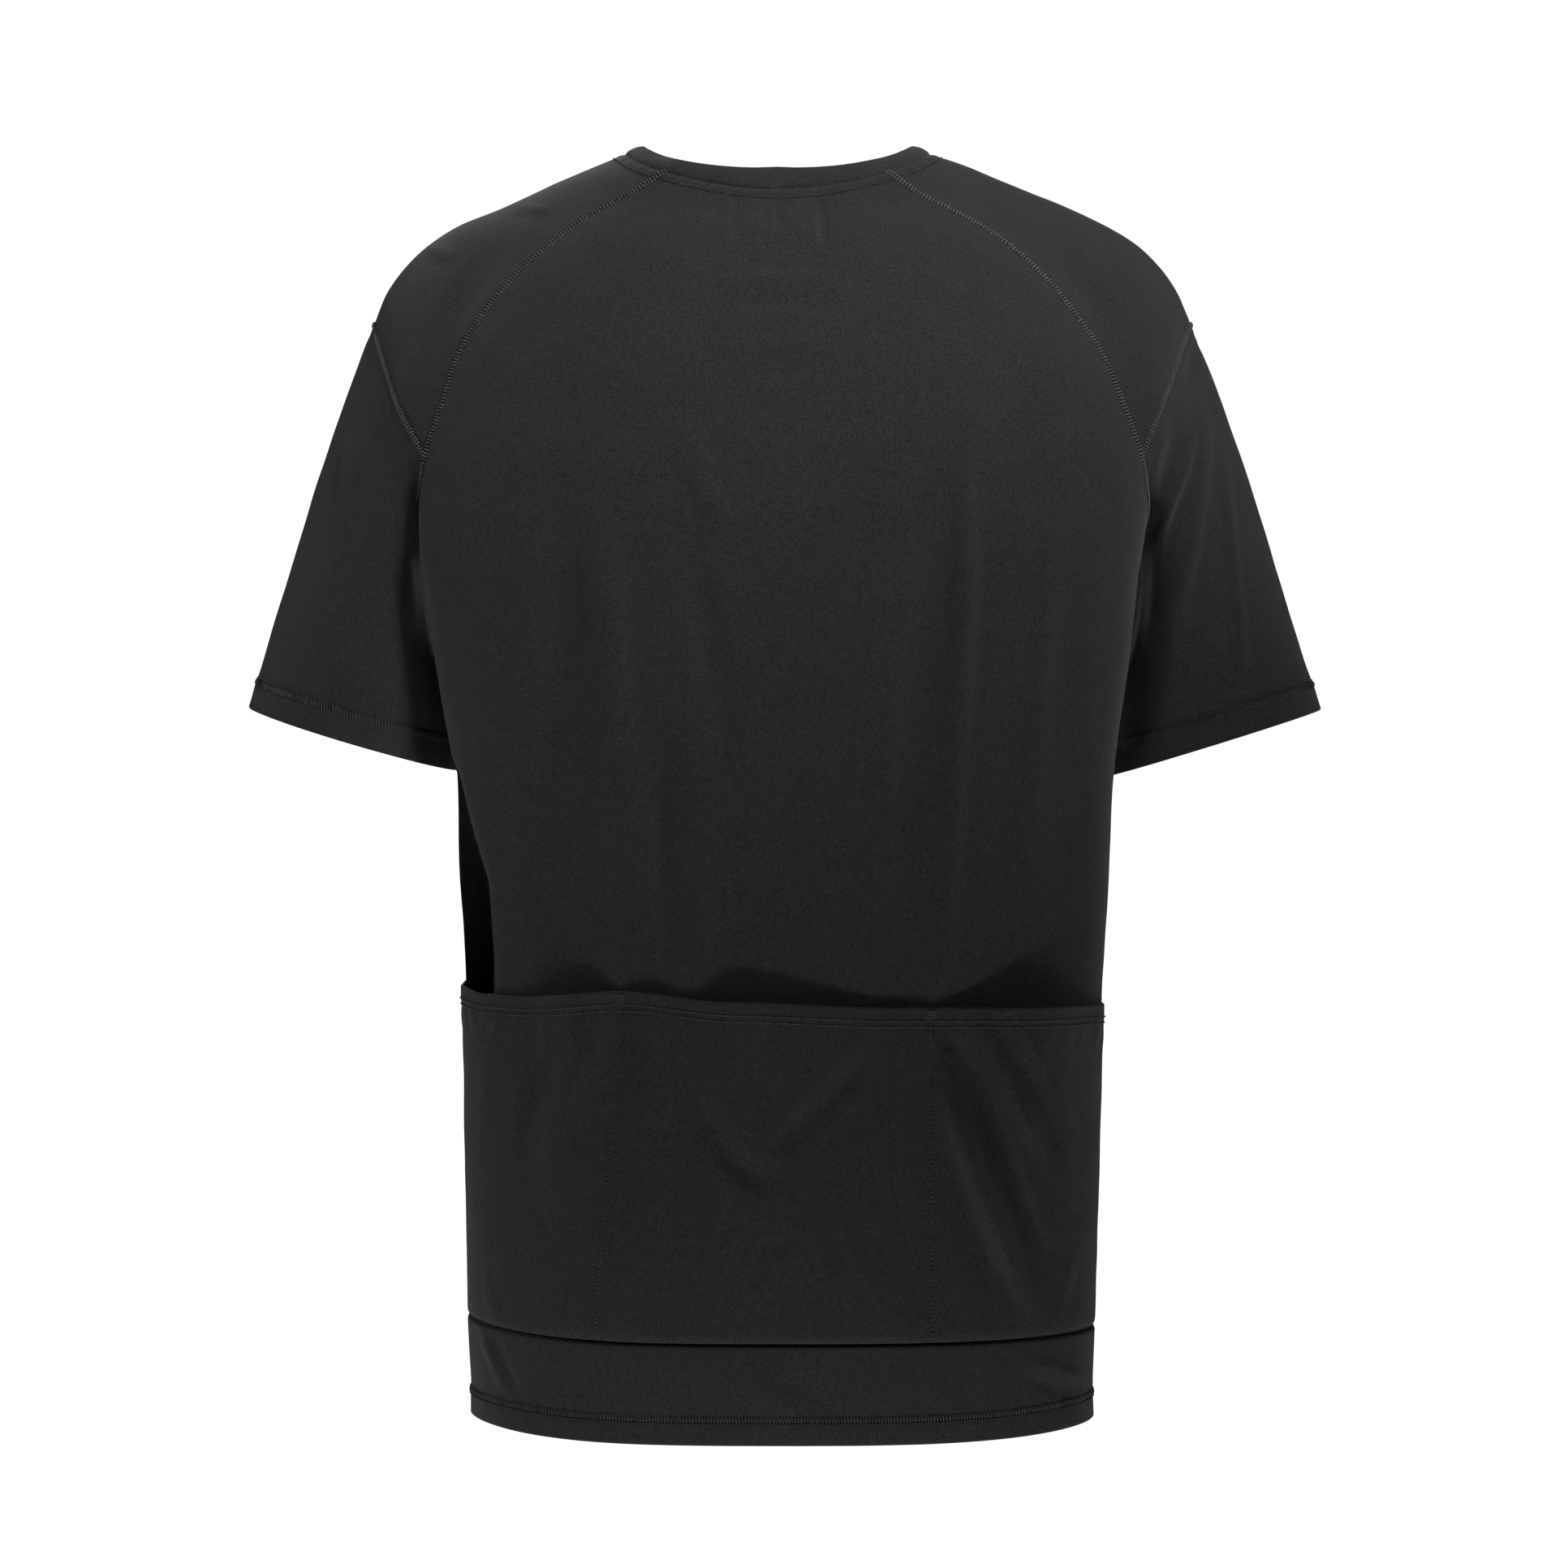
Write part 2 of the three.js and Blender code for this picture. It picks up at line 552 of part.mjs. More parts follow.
const piece = (name, rows, outward, options = {}) => ({
  name, rows, outward, ring: false, folds: [], fades: [], hemRows: 0, look: KNIT, ...options,
});
const allSides = ["top", "left", "right"];
const pieces = [
  piece("back", backRows, -1, { folds: ["back", "valley"], fades: allSides }),
  piece("hem_band", bandRows, -1, { folds: ["back"], fades: ["left", "right"], hemRows: 1 }),
  piece("front", frontRows, 1, { folds: ["front"], fades: allSides, hemRows: 1 }),
  piece("yoke_left", yokes.left, 1),
  piece("yoke_right", yokes.right, -1),
  piece("sleeve_left", sleeves.left, 1,
    { ring: true, folds: ["sleeve_left"], fades: ["top"], hemRows: 1 }),
  piece("sleeve_right", sleeves.right, -1,
    { ring: true, folds: ["sleeve_right"], fades: ["top"], hemRows: 1 }),
  piece("neckband", neckbandRows(), 1, { ring: true, hemRows: 2, look: RIBBED }),
];

// The outward normal at each point of a piece.
function normalsOf({ rows, outward, ring }) {
  const last = rows.length - 1;
  return rows.map((row, i) => row.map((p, j) => {
    const n = row.length;
    const before = ring ? (j + n - 1) % n : Math.max(j - 1, 0);
    const after = ring ? (j + 1) % n : Math.min(j + 1, n - 1);
    const acrossRow = row[after].clone().sub(row[before]);
    const down = rows[Math.min(i + 1, last)][j].clone().sub(rows[Math.max(i - 1, 0)][j]);
    return acrossRow.cross(down).multiplyScalar(outward).normalize();
  }));
}

// Seam points take one normal from all the pieces that meet there.
const seamNormals = new Map();
for (const item of pieces) {
  item.normals = normalsOf(item);
  item.rows.forEach((row, i) => row.forEach((p, j) => {
    const sum = seamNormals.get(p) ?? point(0, 0, 0);
    seamNormals.set(p, sum.add(item.normals[i][j]));
  }));
}
for (const item of pieces) {
  item.normals = item.rows.map((row) => row.map((p) => seamNormals.get(p).clone().normalize()));
}

// How far folds move a point along its normal.
function rise(names, p) {
  let total = 0;
  for (const fold of FOLDS) {
    if (!names.includes(fold.on)) continue;
    const dx = fold.x1 - fold.x0;
    const dz = fold.z1 - fold.z0;
    const place = ((p.x - fold.x0) * dx + (p.z - fold.z0) * dz) / (dx * dx + dz * dz);
    const t = clamp01(place);
    const away = Math.hypot(p.x - fold.x0 - t * dx, p.z - fold.z0 - t * dz) / fold.half;
    const fade = smooth(place * 3) * smooth((1 - place) * 3);
    total += fold.rise * fade * Math.max(0, 1 - away * away) ** 2;
  }
  return total;
}

// The distance from a point to the sides of its piece at which folds fade out.
function seamDistance({ rows, fades }, i, j) {
  let nearest = Infinity;
  const last = rows[i].length - 1;
  const run = (points) => {
    let length = 0;
    for (let k = 1; k < points.length; k += 1) length += points[k].distanceTo(points[k - 1]);
    return length;
  };
  if (fades.includes("top")) nearest = run(rows.slice(0, i + 1).map((row) => row[j]));
  if (fades.includes("left")) nearest = Math.min(nearest, run(rows[i].slice(0, j + 1)));
  if (fades.includes("right")) nearest = Math.min(nearest, run(rows[i].slice(j, last + 1)));
  return nearest;
}

function folded(item, names) {
  return item.rows.map((row, i) => row.map((p, j) => {
    const fade = smooth(seamDistance(item, i, j) / SEAM_FADE);
    return p.clone().addScaledVector(item.normals[i][j], fade * rise(names, p));
  }));
}

// A point part of the way down a column of points, at a height.
function atHeight(rows, normals, j, z) {
  let i = 1;
  while (i < rows.length - 1 && rows[i][j].z > z) i += 1;
  const above = rows[i - 1][j];
  const part = clamp01((above.z - z) / (above.z - rows[i][j].z));
  return {
    p: above.clone().lerp(rows[i][j], part),
    n: normals[i - 1][j].clone().lerp(normals[i][j], part).normalize(),
  };
}

function mouthHeight(x) {
  let i = 1;
  while (i < MOUTH.length - 1 && MOUTH[i].x > x) i += 1;
  const part = smooth((MOUTH[i - 1].x - x) / (MOUTH[i - 1].x - MOUTH[i].x));
  return MOUTH[i - 1].z + (MOUTH[i].z - MOUTH[i - 1].z) * part;
}

// The pocket panel, made from the points of the back, moved out. It stands off the
// back at each mouth and lies on it along the sides, the dividing rows and the bottom.
function pocketPiece(back) {
  const base = folded(back, ["back"]);
  const bottom = base[base.length - 1];
  const rows = [];
  const normals = [];
  for (let i = 0; i <= POCKET_ROWS; i += 1) {
    const down = i / POCKET_ROWS;
    const row = bottom.map((end, j) => {
      const top = mouthHeight(end.x);
      return atHeight(base, back.normals, j, top + (end.z - top) * down);
    });
    const leftDivider = DIVIDERS.leftTop + (DIVIDERS.leftBottom - DIVIDERS.leftTop) * down;
    const rightDivider = DIVIDERS.rightTop + (DIVIDERS.rightBottom - DIVIDERS.rightTop) * down;
    const columnAt = (x) => row.findIndex(({ p }) => p.x < x);
    const stops = [FLAT_COLUMNS, columnAt(leftDivider), columnAt(rightDivider),
      BACK_COLUMNS - FLAT_COLUMNS];
    const lifts = [POCKET_LIFT.left, POCKET_LIFT.middle, POCKET_LIFT.right];
    normals.push(row.map(({ n }) => n));
    rows.push(row.map(({ p, n }, j) => {
      const k = j < stops[1] ? 0 : j < stops[2] ? 1 : 2;
      const part = clamp01((j - stops[k]) / (stops[k + 1] - stops[k]));
      const lift = lifts[k] * Math.sin(Math.PI * part) * (1 - down) ** 1.4;
      const off = (lift + rise(["pocket"], p) * Math.sin(Math.PI * part)) * Math.max(0, n.y);
      const moved = p.clone().addScaledVector(n, POCKET_SEAT + CLOTH);
      moved.y += Math.max(0, off);
      return moved;
    }));
  }
  return piece("pocket_panel", rows, -1, { settled: rows, normals });
}

// Each piece is drawn in by half the seam gap, square to its edges.
function drawnIn({ settled, normals, ring, outward }) {
  const rows = settled.map((row) => row.map((p) => p.clone()));
  const lastRow = rows.length - 1;
  const lastColumn = rows[0].length - 1;
  const loops = [];
  const at = (i, j) => ({ i, j });
  if (ring) {
    loops.push(rows[0].map((p, j) => at(0, j)));
    loops.push(rows[0].map((p, j) => at(lastRow, lastColumn - j)));
  } else {
    const loop = [];
    for (let j = 0; j < lastColumn; j += 1) loop.push(at(0, j));
    for (let i = 0; i < lastRow; i += 1) loop.push(at(i, lastColumn));
    for (let j = lastColumn; j > 0; j -= 1) loop.push(at(lastRow, j));
    for (let i = lastRow; i > 0; i -= 1) loop.push(at(i, 0));
    loops.push(loop);
  }
  for (const loop of loops) {
    loop.forEach(({ i, j }, k) => {
      const previous = loop[(k + loop.length - 1) % loop.length];
      const next = loop[(k + 1) % loop.length];
      const normal = normals[i][j];
      const here = settled[i][j];
      const inwards = (from, to) => normal.clone().cross(to.clone().sub(from))
        .multiplyScalar(outward).normalize();
      const a = inwards(settled[previous.i][previous.j], here);
      const b = inwards(here, settled[next.i][next.j]);
      const spread = Math.max(0.2, 1 + a.dot(b));
      rows[i][j].addScaledVector(a.add(b), SEAM_GAP / 2 / spread);
    });
  }
  return rows;
}

// A closed wall of cloth behind a grid of outer points.
function wallGeometry(item) {
  const outer = drawnIn(item);
  const { normals, ring, outward, hemRows } = item;
  const rowCount = outer.length;
  const columnCount = outer[0].length;
  const positions = [];
  for (const row of outer) for (const p of row) positions.push(...p);
  outer.forEach((row, i) => {
    const wall = i >= rowCount - 1 - hemRows && hemRows > 0 ? FOLDED_CLOTH : CLOTH;
    row.forEach((p, j) => positions.push(...p.clone().addScaledVector(normals[i][j], -wall)));
  });
  const inner = rowCount * columnCount;
  const index = (i, j) => i * columnCount + (ring ? j % columnCount : j);
  const faces = [];
  const vertex = (k) => point(...positions.slice(3 * k, 3 * k + 3));
  const span = (a, b) => vertex(a).distanceTo(vertex(b));
  const triangle = (a, b, c) => {
    if (outward > 0) faces.push(a, b, c);
    else faces.push(a, c, b);
  };
  // Each four-sided face is divided along its shorter diagonal.
  const quad = (a, b, c, d) => {
    if (span(a, c) < span(b, d)) {
      triangle(a, b, c);
      triangle(a, c, d);
    } else {
      triangle(b, c, d);
      triangle(b, d, a);
    }
  };
  const lastColumn = ring ? columnCount : columnCount - 1;
  for (let i = 0; i < rowCount - 1; i += 1) {
    for (let j = 0; j < lastColumn; j += 1) {
      const a = index(i, j);
      const b = index(i, j + 1);
      const c = index(i + 1, j + 1);
      const d = index(i + 1, j);
      quad(a, b, c, d);
      quad(a + inner, d + inner, c + inner, b + inner);
    }
  }
  for (let j = 0; j < lastColumn; j += 1) {
    const topA = index(0, j);
    const topB = index(0, j + 1);
    const lowA = index(rowCount - 1, j);
    const lowB = index(rowCount - 1, j + 1);
    quad(topB, topA, topA + inner, topB + inner);
    quad(lowA, lowB, lowB + inner, lowA + inner);
  }
  for (let i = 0; i < rowCount - 1 && !ring; i += 1) {
    const leftA = index(i, 0);
    const leftB = index(i + 1, 0);
    const rightA = index(i, columnCount - 1);
    const rightB = index(i + 1, columnCount - 1);
    quad(leftA, leftB, leftB + inner, leftA + inner);
    quad(rightB, rightA, rightA + inner, rightB + inner);
  }
  const geometry = new THREE.BufferGeometry();
  geometry.setAttribute("position", new THREE.Float32BufferAttribute(positions, 3));
  geometry.setIndex(faces);
  geometry.computeVertexNormals();
  return geometry;
}

for (const item of pieces) item.settled = folded(item, item.folds);
const [back, band] = pieces;
band.settled = band.settled.map((row, i) => row.map((p, j) => {
  const step = (POCKET_SEAT + CLOTH) * (1 - i / HEM_ROWS);
  return p.clone().addScaledVector(band.normals[i][j], step);
}));
pieces.push(pocketPiece(back));

const jersey = new THREE.Group();
for (const item of pieces) {
  const mesh = new THREE.Mesh(wallGeometry(item), new THREE.MeshStandardMaterial(item.look));
  mesh.name = item.name;
  jersey.add(mesh);
}

export default jersey;
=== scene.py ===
"""The looks of a short-sleeved cycling jersey in dark knit, filled out as it is when worn.

Every cloth piece is worked out from the sizes below, in millimetres, in the frame of the
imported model: +Z up, the back of the garment towards +Y and the wearer's left at +X. The
tables hold the same sections as the solids, and the creases, hems, grooves and stitches
are added here.
"""

import math

import bpy
import numpy as np
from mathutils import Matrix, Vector, noise


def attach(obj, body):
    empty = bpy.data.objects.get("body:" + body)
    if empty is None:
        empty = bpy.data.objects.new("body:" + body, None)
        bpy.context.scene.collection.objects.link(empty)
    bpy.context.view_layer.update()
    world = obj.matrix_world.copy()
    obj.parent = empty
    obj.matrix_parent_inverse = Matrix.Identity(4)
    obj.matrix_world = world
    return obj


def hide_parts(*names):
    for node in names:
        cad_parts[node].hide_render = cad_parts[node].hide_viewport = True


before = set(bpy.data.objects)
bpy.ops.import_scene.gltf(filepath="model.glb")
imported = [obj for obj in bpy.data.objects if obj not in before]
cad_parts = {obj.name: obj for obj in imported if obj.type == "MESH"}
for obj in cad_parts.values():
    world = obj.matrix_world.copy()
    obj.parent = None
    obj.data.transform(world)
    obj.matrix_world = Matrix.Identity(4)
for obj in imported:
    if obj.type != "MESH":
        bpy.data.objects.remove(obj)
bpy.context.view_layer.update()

bl_info = {
    "name": "Cycling jersey",
    "version": (1, 0, 0),
    "blender": (4, 5, 0),
    "location": "3D View > Sidebar > Jersey",
    "description": "Builds a knit cycling jersey with back pockets, and its stage",
    "category": "Add Mesh",
}

MM = 0.001

# How finely the pieces are divided.
HALF_COLUMNS = {"back": 86, "front": 52}
RAGLAN_ROWS = 66
ARMHOLE_ROWS = 16
SIDE_ROWS = 124
BAND_ROWS = 26
YOKE_COLUMNS = 72
SLEEVE_ROWS = 76
NECKBAND_ROWS = 14
POCKET_ROWS = 84
SECTION_STEPS = 90
# Rows and columns crowd at an edge, at these distances from it, and closer where the
# whole way is short.
EDGE_STEPS = (0, 0.7, 1.6, 3, 5)
EDGE_ROOM = 8
SHORT_WAY = 40

# About how far each of these runs from its upper to its lower edge.
RAGLAN_RUN = 235
BAND_RUN = 54
SLEEVE_RUN = 190
NECKBAND_RUN = 14
POCKET_RUN = 185

# How square the back's sections are, and how sharply the rows bend towards the seams.
BACK_SQUARENESS = 2.5
NECK_BEND = 2
HEM_BEND = 4

SIDES = {"left": 1, "right": -1}
UP = np.array([0.0, 0.0, 1.0])


def table(columns, rows):
    """Gives each column of a table by its name."""
    return {name: np.array([row[k] for row in rows], float) for k, name in enumerate(columns)}


# Sections from the neck to the underarm: the height of the row at its seam and on the
# centre line, the half widths, the depth on the centre line, the widest line, the seam.
UPPER_BACK = table(("edge", "middle", "left", "right", "depth", "widest", "seam"), (
    (-15, -25.7, 93, 91, 63, 0, 52),
    (-28, -37, 112, 108, 70, 0, 54),
    (-44, -50, 139, 138, 80, 0, 57),
    (-59, -63, 158, 160, 88, 0, 60),
    (-80, -82, 175, 177, 97, 8, 63),
    (-103, -104, 189, 191, 105, 15, 66),
    (-123, -123, 196, 200, 111, 20, 68),
    (-146, -146, 200, 206, 116, 27, 70),
    (-176, -176, 203.5, 210, 121, 35, 67),
    (-192, -192, 201.5, 208, 122, 40, 58),
    (-207, -207, 201.5, 207.5, 123, 44, 42),
    (-219, -219, 201, 206, 123, 47, 22),
    (-227, -227, 200.5, 204.5, 123, 50, 0),
))
UPPER_FRONT = table(("edge", "middle", "left", "right", "depth", "widest", "square", "seam"), (
    (-38, -95, 84, 84, -84, 0, 2.4, -41),
    (-52, -105, 108, 108, -89, 3, 2.4, -48),
    (-70, -117, 135, 135, -95, 8, 2.4, -54),
    (-91, -131, 161, 162, -102, 13, 2.4, -59),
    (-113, -146, 183, 185, -108, 19, 2.4, -61),
    (-135, -161, 199, 202, -113, 25, 2.4, -61),
    (-152, -173, 205, 209, -117, 30, 2.4, -60),
    (-168, -185, 209, 213, -120, 35, 2.4, -58),
    (-186, -197, 210, 214, -122, 39, 2.35, -50),
    (-203, -209, 207, 211, -124, 43, 2.3, -36),
    (-218, -219, 203.5, 207.5, -125, 47, 2.25, -18),
    (-227, -227, 200.5, 204.5, -126, 50, 2.2, 0),
))
UPPER = {"back": UPPER_BACK, "front": UPPER_FRONT}
# The row where the raglan seam ends and the armhole begins.
JUNCTION = {"back": 8, "front": 7}

# Sections from the underarm to the hem: their height, half widths, depths and so on.
LOWER = table(("edge", "left", "right", "back", "front", "widest", "square", "seam"), (
    (-227, 200.5, 204.5, 123, -126, 50, 2.2, 0),
    (-250, 197.5, 201, 122, -128, 50, 2.15, 4),
    (-300, 190.5, 195.5, 117, -128, 48, 2.05, 9),
    (-350, 182, 188.5, 113, -124, 45, 2, 12),
    (-410, 180, 186, 109, -120, 41, 2, 14),
    (-475, 176.5, 182.5, 108, -117, 37, 2.05, 15),
    (-550, 175, 180.5, 110, -115, 33, 2.1, 15),
    (-660, 173.5, 177.5, 115, -115, 28, 2.15, 14),
    (-712, 173, 178, 118, -117, 25, 2.15, 12),
))
UNDERARM = LOWER["edge"][0]
BAND_SEAM = {"left": -657, "right": -663, "middle": -666}
HEM = {"left": -711, "right": -713, "middle_back": -720, "middle_front": -718}

# How the neckband leans at the centre back, the shoulder and the centre front.
LEAN = table(("inwards", "y", "z"), ((0, -7, 13), (10.3, -1, 4.5), (0, 7, 12)))

# The top line of the shoulder, and the cap seam across the arm.
RIDGE = table(("left", "right", "y", "z_left", "z_right"), (
    (87, 87, 4, 0, 0),
    (115, 112, 1, -11.5, -8.5),
    (152, 149, -3, -27.5, -22.5),
    (182, 180, -5, -39, -36),
    (204, 207, -5, -54, -51.5),
    (221.5, 227, -4, -76, -74.5),
    (230, 235.5, -3, -96, -94),
))
CAP = table(("left", "right", "y", "z"), (
    (211, 213.5, 57, -149),
    (218, 221, 43, -131),
    (226, 229.5, 20, -109),
    (230, 235.5, -3, -96),
    (227, 230, -26, -106),
    (217, 220.5, -43, -125),
    (207, 210, -53, -145),
))

# The ring at the end of each sleeve: its centre, its reach outwards and its depth.
CUFF = {
    "left": {"x": 241.5, "y": -12, "z": -331.5, "out_x": 60.5, "out_z": 18, "depth": 56, "sag": 3},
    "right": {"x": 249, "y": -12, "z": -334, "out_x": 61, "out_z": 19, "depth": 56, "sag": 0.5},
}

# Where the cap seam ends on the turn round the sleeve, in degrees, how full the cloth is
# between its edges, and the way that the sleeve leaves the underarm.
JUNCTION_TURN = 62
SHOULDER_FULLNESS = 1.15
SLEEVE_FULLNESS = 0.8
CUFF_FULLNESS = 0.9
UNDERARM_WAY = (0.85, -0.53)
ROW_CROWDING = 0.11
# How far back from its seam the way of a panel or a yoke is read, as a share of its run.
LOOK_BACK = {"back": 1 / 18, "front": 1 / 10, "yoke": 1 / 8}

# How many times the sleeve is relaxed beside the armhole, how far from it, and how far the
# sleeve keeps from the body.
RELAX_ROUNDS = 280
EASE_COLUMNS = 34
EASE_ROWS = 60
EASE_CHECK = 8
ARM_CLEARANCE = 3
ARMHOLE_CLEARANCE = 0.8
BESIDE_BODY = {"top": -198, "over": 25}

# The pocket mouth (across, up), and the two dividing rows of stitches (across, at the top
# and at the foot).
MOUTH = ((180, -463), (171, -471), (158, -475), (139, -476), (86, -472.5), (28, -478),
         (-65, -481.5), (-185, -481.5))
DIVIDERS = {"left": (85.5, 101), "right": (-84, -85)}

# How far down the lower band comes back in from the level of the pocket panel.
BAND_EASE = 40
# The seam allowance at the top of the lower band, turned in and up behind the back.
ALLOWANCE = {"in": 3.4, "up": 3, "thick": 0.4}

# How far the mouth of the pockets stands off the back (across, out), and how soon that
# ends further down. The outer ends of the panel lie flat.
GAPE = ((178, 0), (152, 1), (135, 2), (125, 7.5), (112, 11), (101, 9), (93, 3.5), (85.5, 0),
        (76, 4), (68, 5), (59, 1.8), (46, 2), (34, 8), (23, 11.5), (8, 10), (-16, 7),
        (-43, 3.6), (-60, 3), (-72, 3.4), (-84, 0), (-96, 3.5), (-112, 8), (-128, 15),
        (-142, 20.5), (-157, 16), (-170, 4), (-179, 0))
GAPE_FALL = 1.4
FLAT_SIDE = 4 / 36

# The deep fold at the left side of the back above the pocket: the line that its lip
# follows (across, up), and how far behind the side seam its floor lies.
RECESS_LIP = ((186, -335), (177, -352), (168, -386), (159.5, -413), (157, -453), (157, -480),
              (160, -520))
RECESS = {"behind_seam": 2.5, "lip": 3.5, "start": 12, "end": -500, "fade": 45,
          "side": 120, "side_fade": 20}

# Creases as seen from behind or in front, by piece: three points that each passes through
# (across, up), half its width and its rise, below zero for a trough.
CREASES = {
    "back": (
        (115, -157, 120, -275, 126, -462, 20, -3.4),
        (98, -176, 90, -311, 80, -486, 15, 3.4),
        (67, -318, 64, -400, 59, -490, 7, -1.9),
        (56, -306, 45, -396, 42, -492, 12, 2.6),
        (53, -204, 37, -284, 19, -410, 14, -2.6),
        (58, -150, 40, -195, 18, -232, 11, 1.9),
        (27, -168, 16, -184, 4, -204, 7, -0.9),
        (-87, -180, -80, -293, -68, -476, 19, -3),
        (-103, -150, -101, -293, -87, -494, 10, 3.6),
        (-152, -195, -147, -293, -128, -436, 10, 1.1),
        (-159, -210, -160, -330, -157, -445, 15, -1.8),
        (48, -93, 3, -92, -41, -95, 8, -1.1),
        (30, -77, -3, -79, -36, -76, 7, 0.7),
        (32, -113, -3, -117, -38, -110, 8, 0.8),
        (22, -130, -14, -133, -48, -128, 7, -0.5),
        (-164, -180, -178, -196, -194, -214, 5, -0.5),
        (-160, -200, -174, -214, -190, -228, 5, -0.4),
        (24, -24, 23.5, -40, 24, -60, 4.6, -1.4),
        (-1, -24, -1, -38, -2, -55, 4.4, -1.1),
        (-25, -24, -25, -42, -27, -66, 4.6, -1.5),
        (13, -26, 12, -42, 12, -58, 5, 0.8),
        (-13, -26, -12, -42, -12, -58, 5, 0.8),
        (150, -70, 130, -120, 118, -190, 26, -1.6),
        (-150, -75, -134, -130, -126, -200, 26, -1.4),
    ),
    "pocket": (
        (-80, -470, -104, -560, -150, -668, 9.5, 9.5),
        (-96, -482, -122, -558, -160, -664, 9.5, -7.5),
        (-74, -496, -90, -570, -131, -660, 10, -3),
        (-88, -488, -92, -498, -97, -508, 4, -2.4),
        (-106, -480, -130, -529, -150, -574, 6, 5),
        (-120, -484, -143, -531, -160, -576, 6, -3.4),
        (-131, -484, -153, -524, -170, -568, 6, 4),
        (-64, -494, -26, -534, 4, -562, 9, -1.8),
        (-56, -490, -22, -520, 6, -552, 8, 0.8),
        (50, -514, 30, -556, -2, -584, 10, -2.8),
        (96, -484, 117, -533, 134, -592, 9, 3),
        (110, -488, 130, -524, 143, -568, 8, -1.7),
        (137, -502, 142, -530, 147, -566, 7, 1.2),
        (14, -610, 0, -611, -14, -609, 7, -0.8),
        (165, -486, 166, -540, 168, -596, 6, 2),
        (170, -600, 160, -640, 154, -664, 5, 2),
        (-172, -608, -166, -640, -156, -662, 5, -1.8),
        (-166, -606, -160, -636, -151, -662, 5, 1.6),
    ),
    "band": (
        (166, -654, 158, -676, 148, -698, 4.5, 1.8),
        (158, -660, 150, -682, 142, -700, 4.5, -1.4),
        (-138, -676, -154, -682, -178, -694, 4, 1.5),
        (-134, -684, -150, -692, -170, -702, 4, -1.4),
        (30, -672, 5, -694, -20, -702, 14, 1.2),
    ),
    "front": (
        (84, -210, 74, -380, 66, -560, 22, -4),
        (110, -220, 104, -400, 98, -600, 16, 3.2),
        (-76, -220, -80, -400, -84, -600, 20, -4),
        (-112, -240, -112, -380, -106, -520, 15, 3.2),
        (12, -260, 8, -420, 4, -620, 22, -2.6),
        (40, -180, 30, -300, 26, -460, 12, 1.8),
        (170, -200, 150, -222, 120, -238, 10, -1.6),
        (-172, -200, -150, -224, -120, -240, 10, -1.6),
        (-150, -520, -130, -580, -118, -660, 12, 2.4),
        (146, -500, 134, -570, 126, -650, 12, -2.4),
    ),
    "yoke_left": (
        (149, -35, 138, -40, 126, -42, 3.6, -0.5),
        (151, -29, 139, -34, 126, -37, 3.6, 1.5),
        (198, -60, 190, -65, 180, -69, 3.6, -0.5),
        (200, -54, 191, -58, 180, -64, 3.6, 1.5),
        (150, -52, 168, -74, 184, -108, 14, -1.2),
    ),
    "yoke_right": (
        (-150, -50, -170, -76, -188, -112, 14, -1.2),
    ),
    "sleeve_left": (
        (229, -140, 212, -195, 190, -262, 12, -2.6),
        (243, -146, 244, -191, 245, -242, 4.5, 1.7),
        (237, -170, 237, -200, 236, -228, 4.5, -1.3),
        (224, -124, 219, -140, 214, -156, 4, 1.4),
        (202, -244, 203, -305, 190, -350, 12, -3.6),
    ),
    "sleeve_right": (
        (-225, -150, -218, -186, -197, -244, 8, -3.2),
        (-233, -150, -229, -182, -205, -238, 4, 1.6),
        (-234, -178, -221, -218, -212, -268, 6, -2.3),
        (-239, -130, -237, -200, -213, -302, 7, 2.3),
        (-251, -150, -257, -236, -264, -330, 5, 2.1),
        (-240, -104, -236, -116, -230, -134, 4, -1.5),
        (-214, -262, -206, -310, -192, -350, 11, -3.6),
    ),
    "sleeve_left_front": (
        (226, -140, 214, -190, 200, -280, 10, -3),
        (246, -150, 252, -210, 256, -300, 6, 2),
    ),
    "sleeve_right_front": (
        (-228, -140, -216, -190, -204, -280, 10, -3),
        (-248, -150, -256, -210, -260, -300, 6, 2),
    ),
}
# How far from a seam the creases fade out.
SEAM_FADE = 14

# The deep groove where the pocket panel's foot stands over the lower band.
BAND_SEAM_EDGE = {"back": "bottom", "band": "top"}
BAND_GROOVE = {"width": 0.55, "depth": 1.7, "fade": 22}

# The back of each sleeve falls in beside the body: how far, from how far out, and where.
TUCK = {"left": 13, "right": 20, "over": 30, "top": -200, "fade": 90, "shallow": 5, "deep": 25,
        "cuff": 30}

# The edges at which a piece is sewn to another.
SEAMS = {
    "back": ("top", "left", "right"),
    "band": ("left", "right"),
    "front": ("top", "left", "right"),
    "yoke_left": ("top", "bottom", "left", "right"),
    "yoke_right": ("top", "bottom", "left", "right"),
    "sleeve_left": ("top",),
    "sleeve_right": ("top",),
    "neckband": (),
}

# How deep the turned hems are, and how far the rows of stitches lie from the neckline and
# from the pocket mouth.
HEM_DEPTH = {"band": 13.5, "front": 13.5, "sleeve_left": 15, "sleeve_right": 15}
MOUTH_HEM = 11.2
NECK_ROW = 6.8
MOUTH_ROWS = (6.9, 10.2)


def smooth(value):
    """A soft step from 0 to 1."""
    t = np.clip(value, 0, 1)
    return t * t * (3 - 2 * t)


def unit(v):
    """Vectors of length 1."""
    return v / np.maximum(np.linalg.norm(v, axis=-1, keepdims=True), 1e-9)


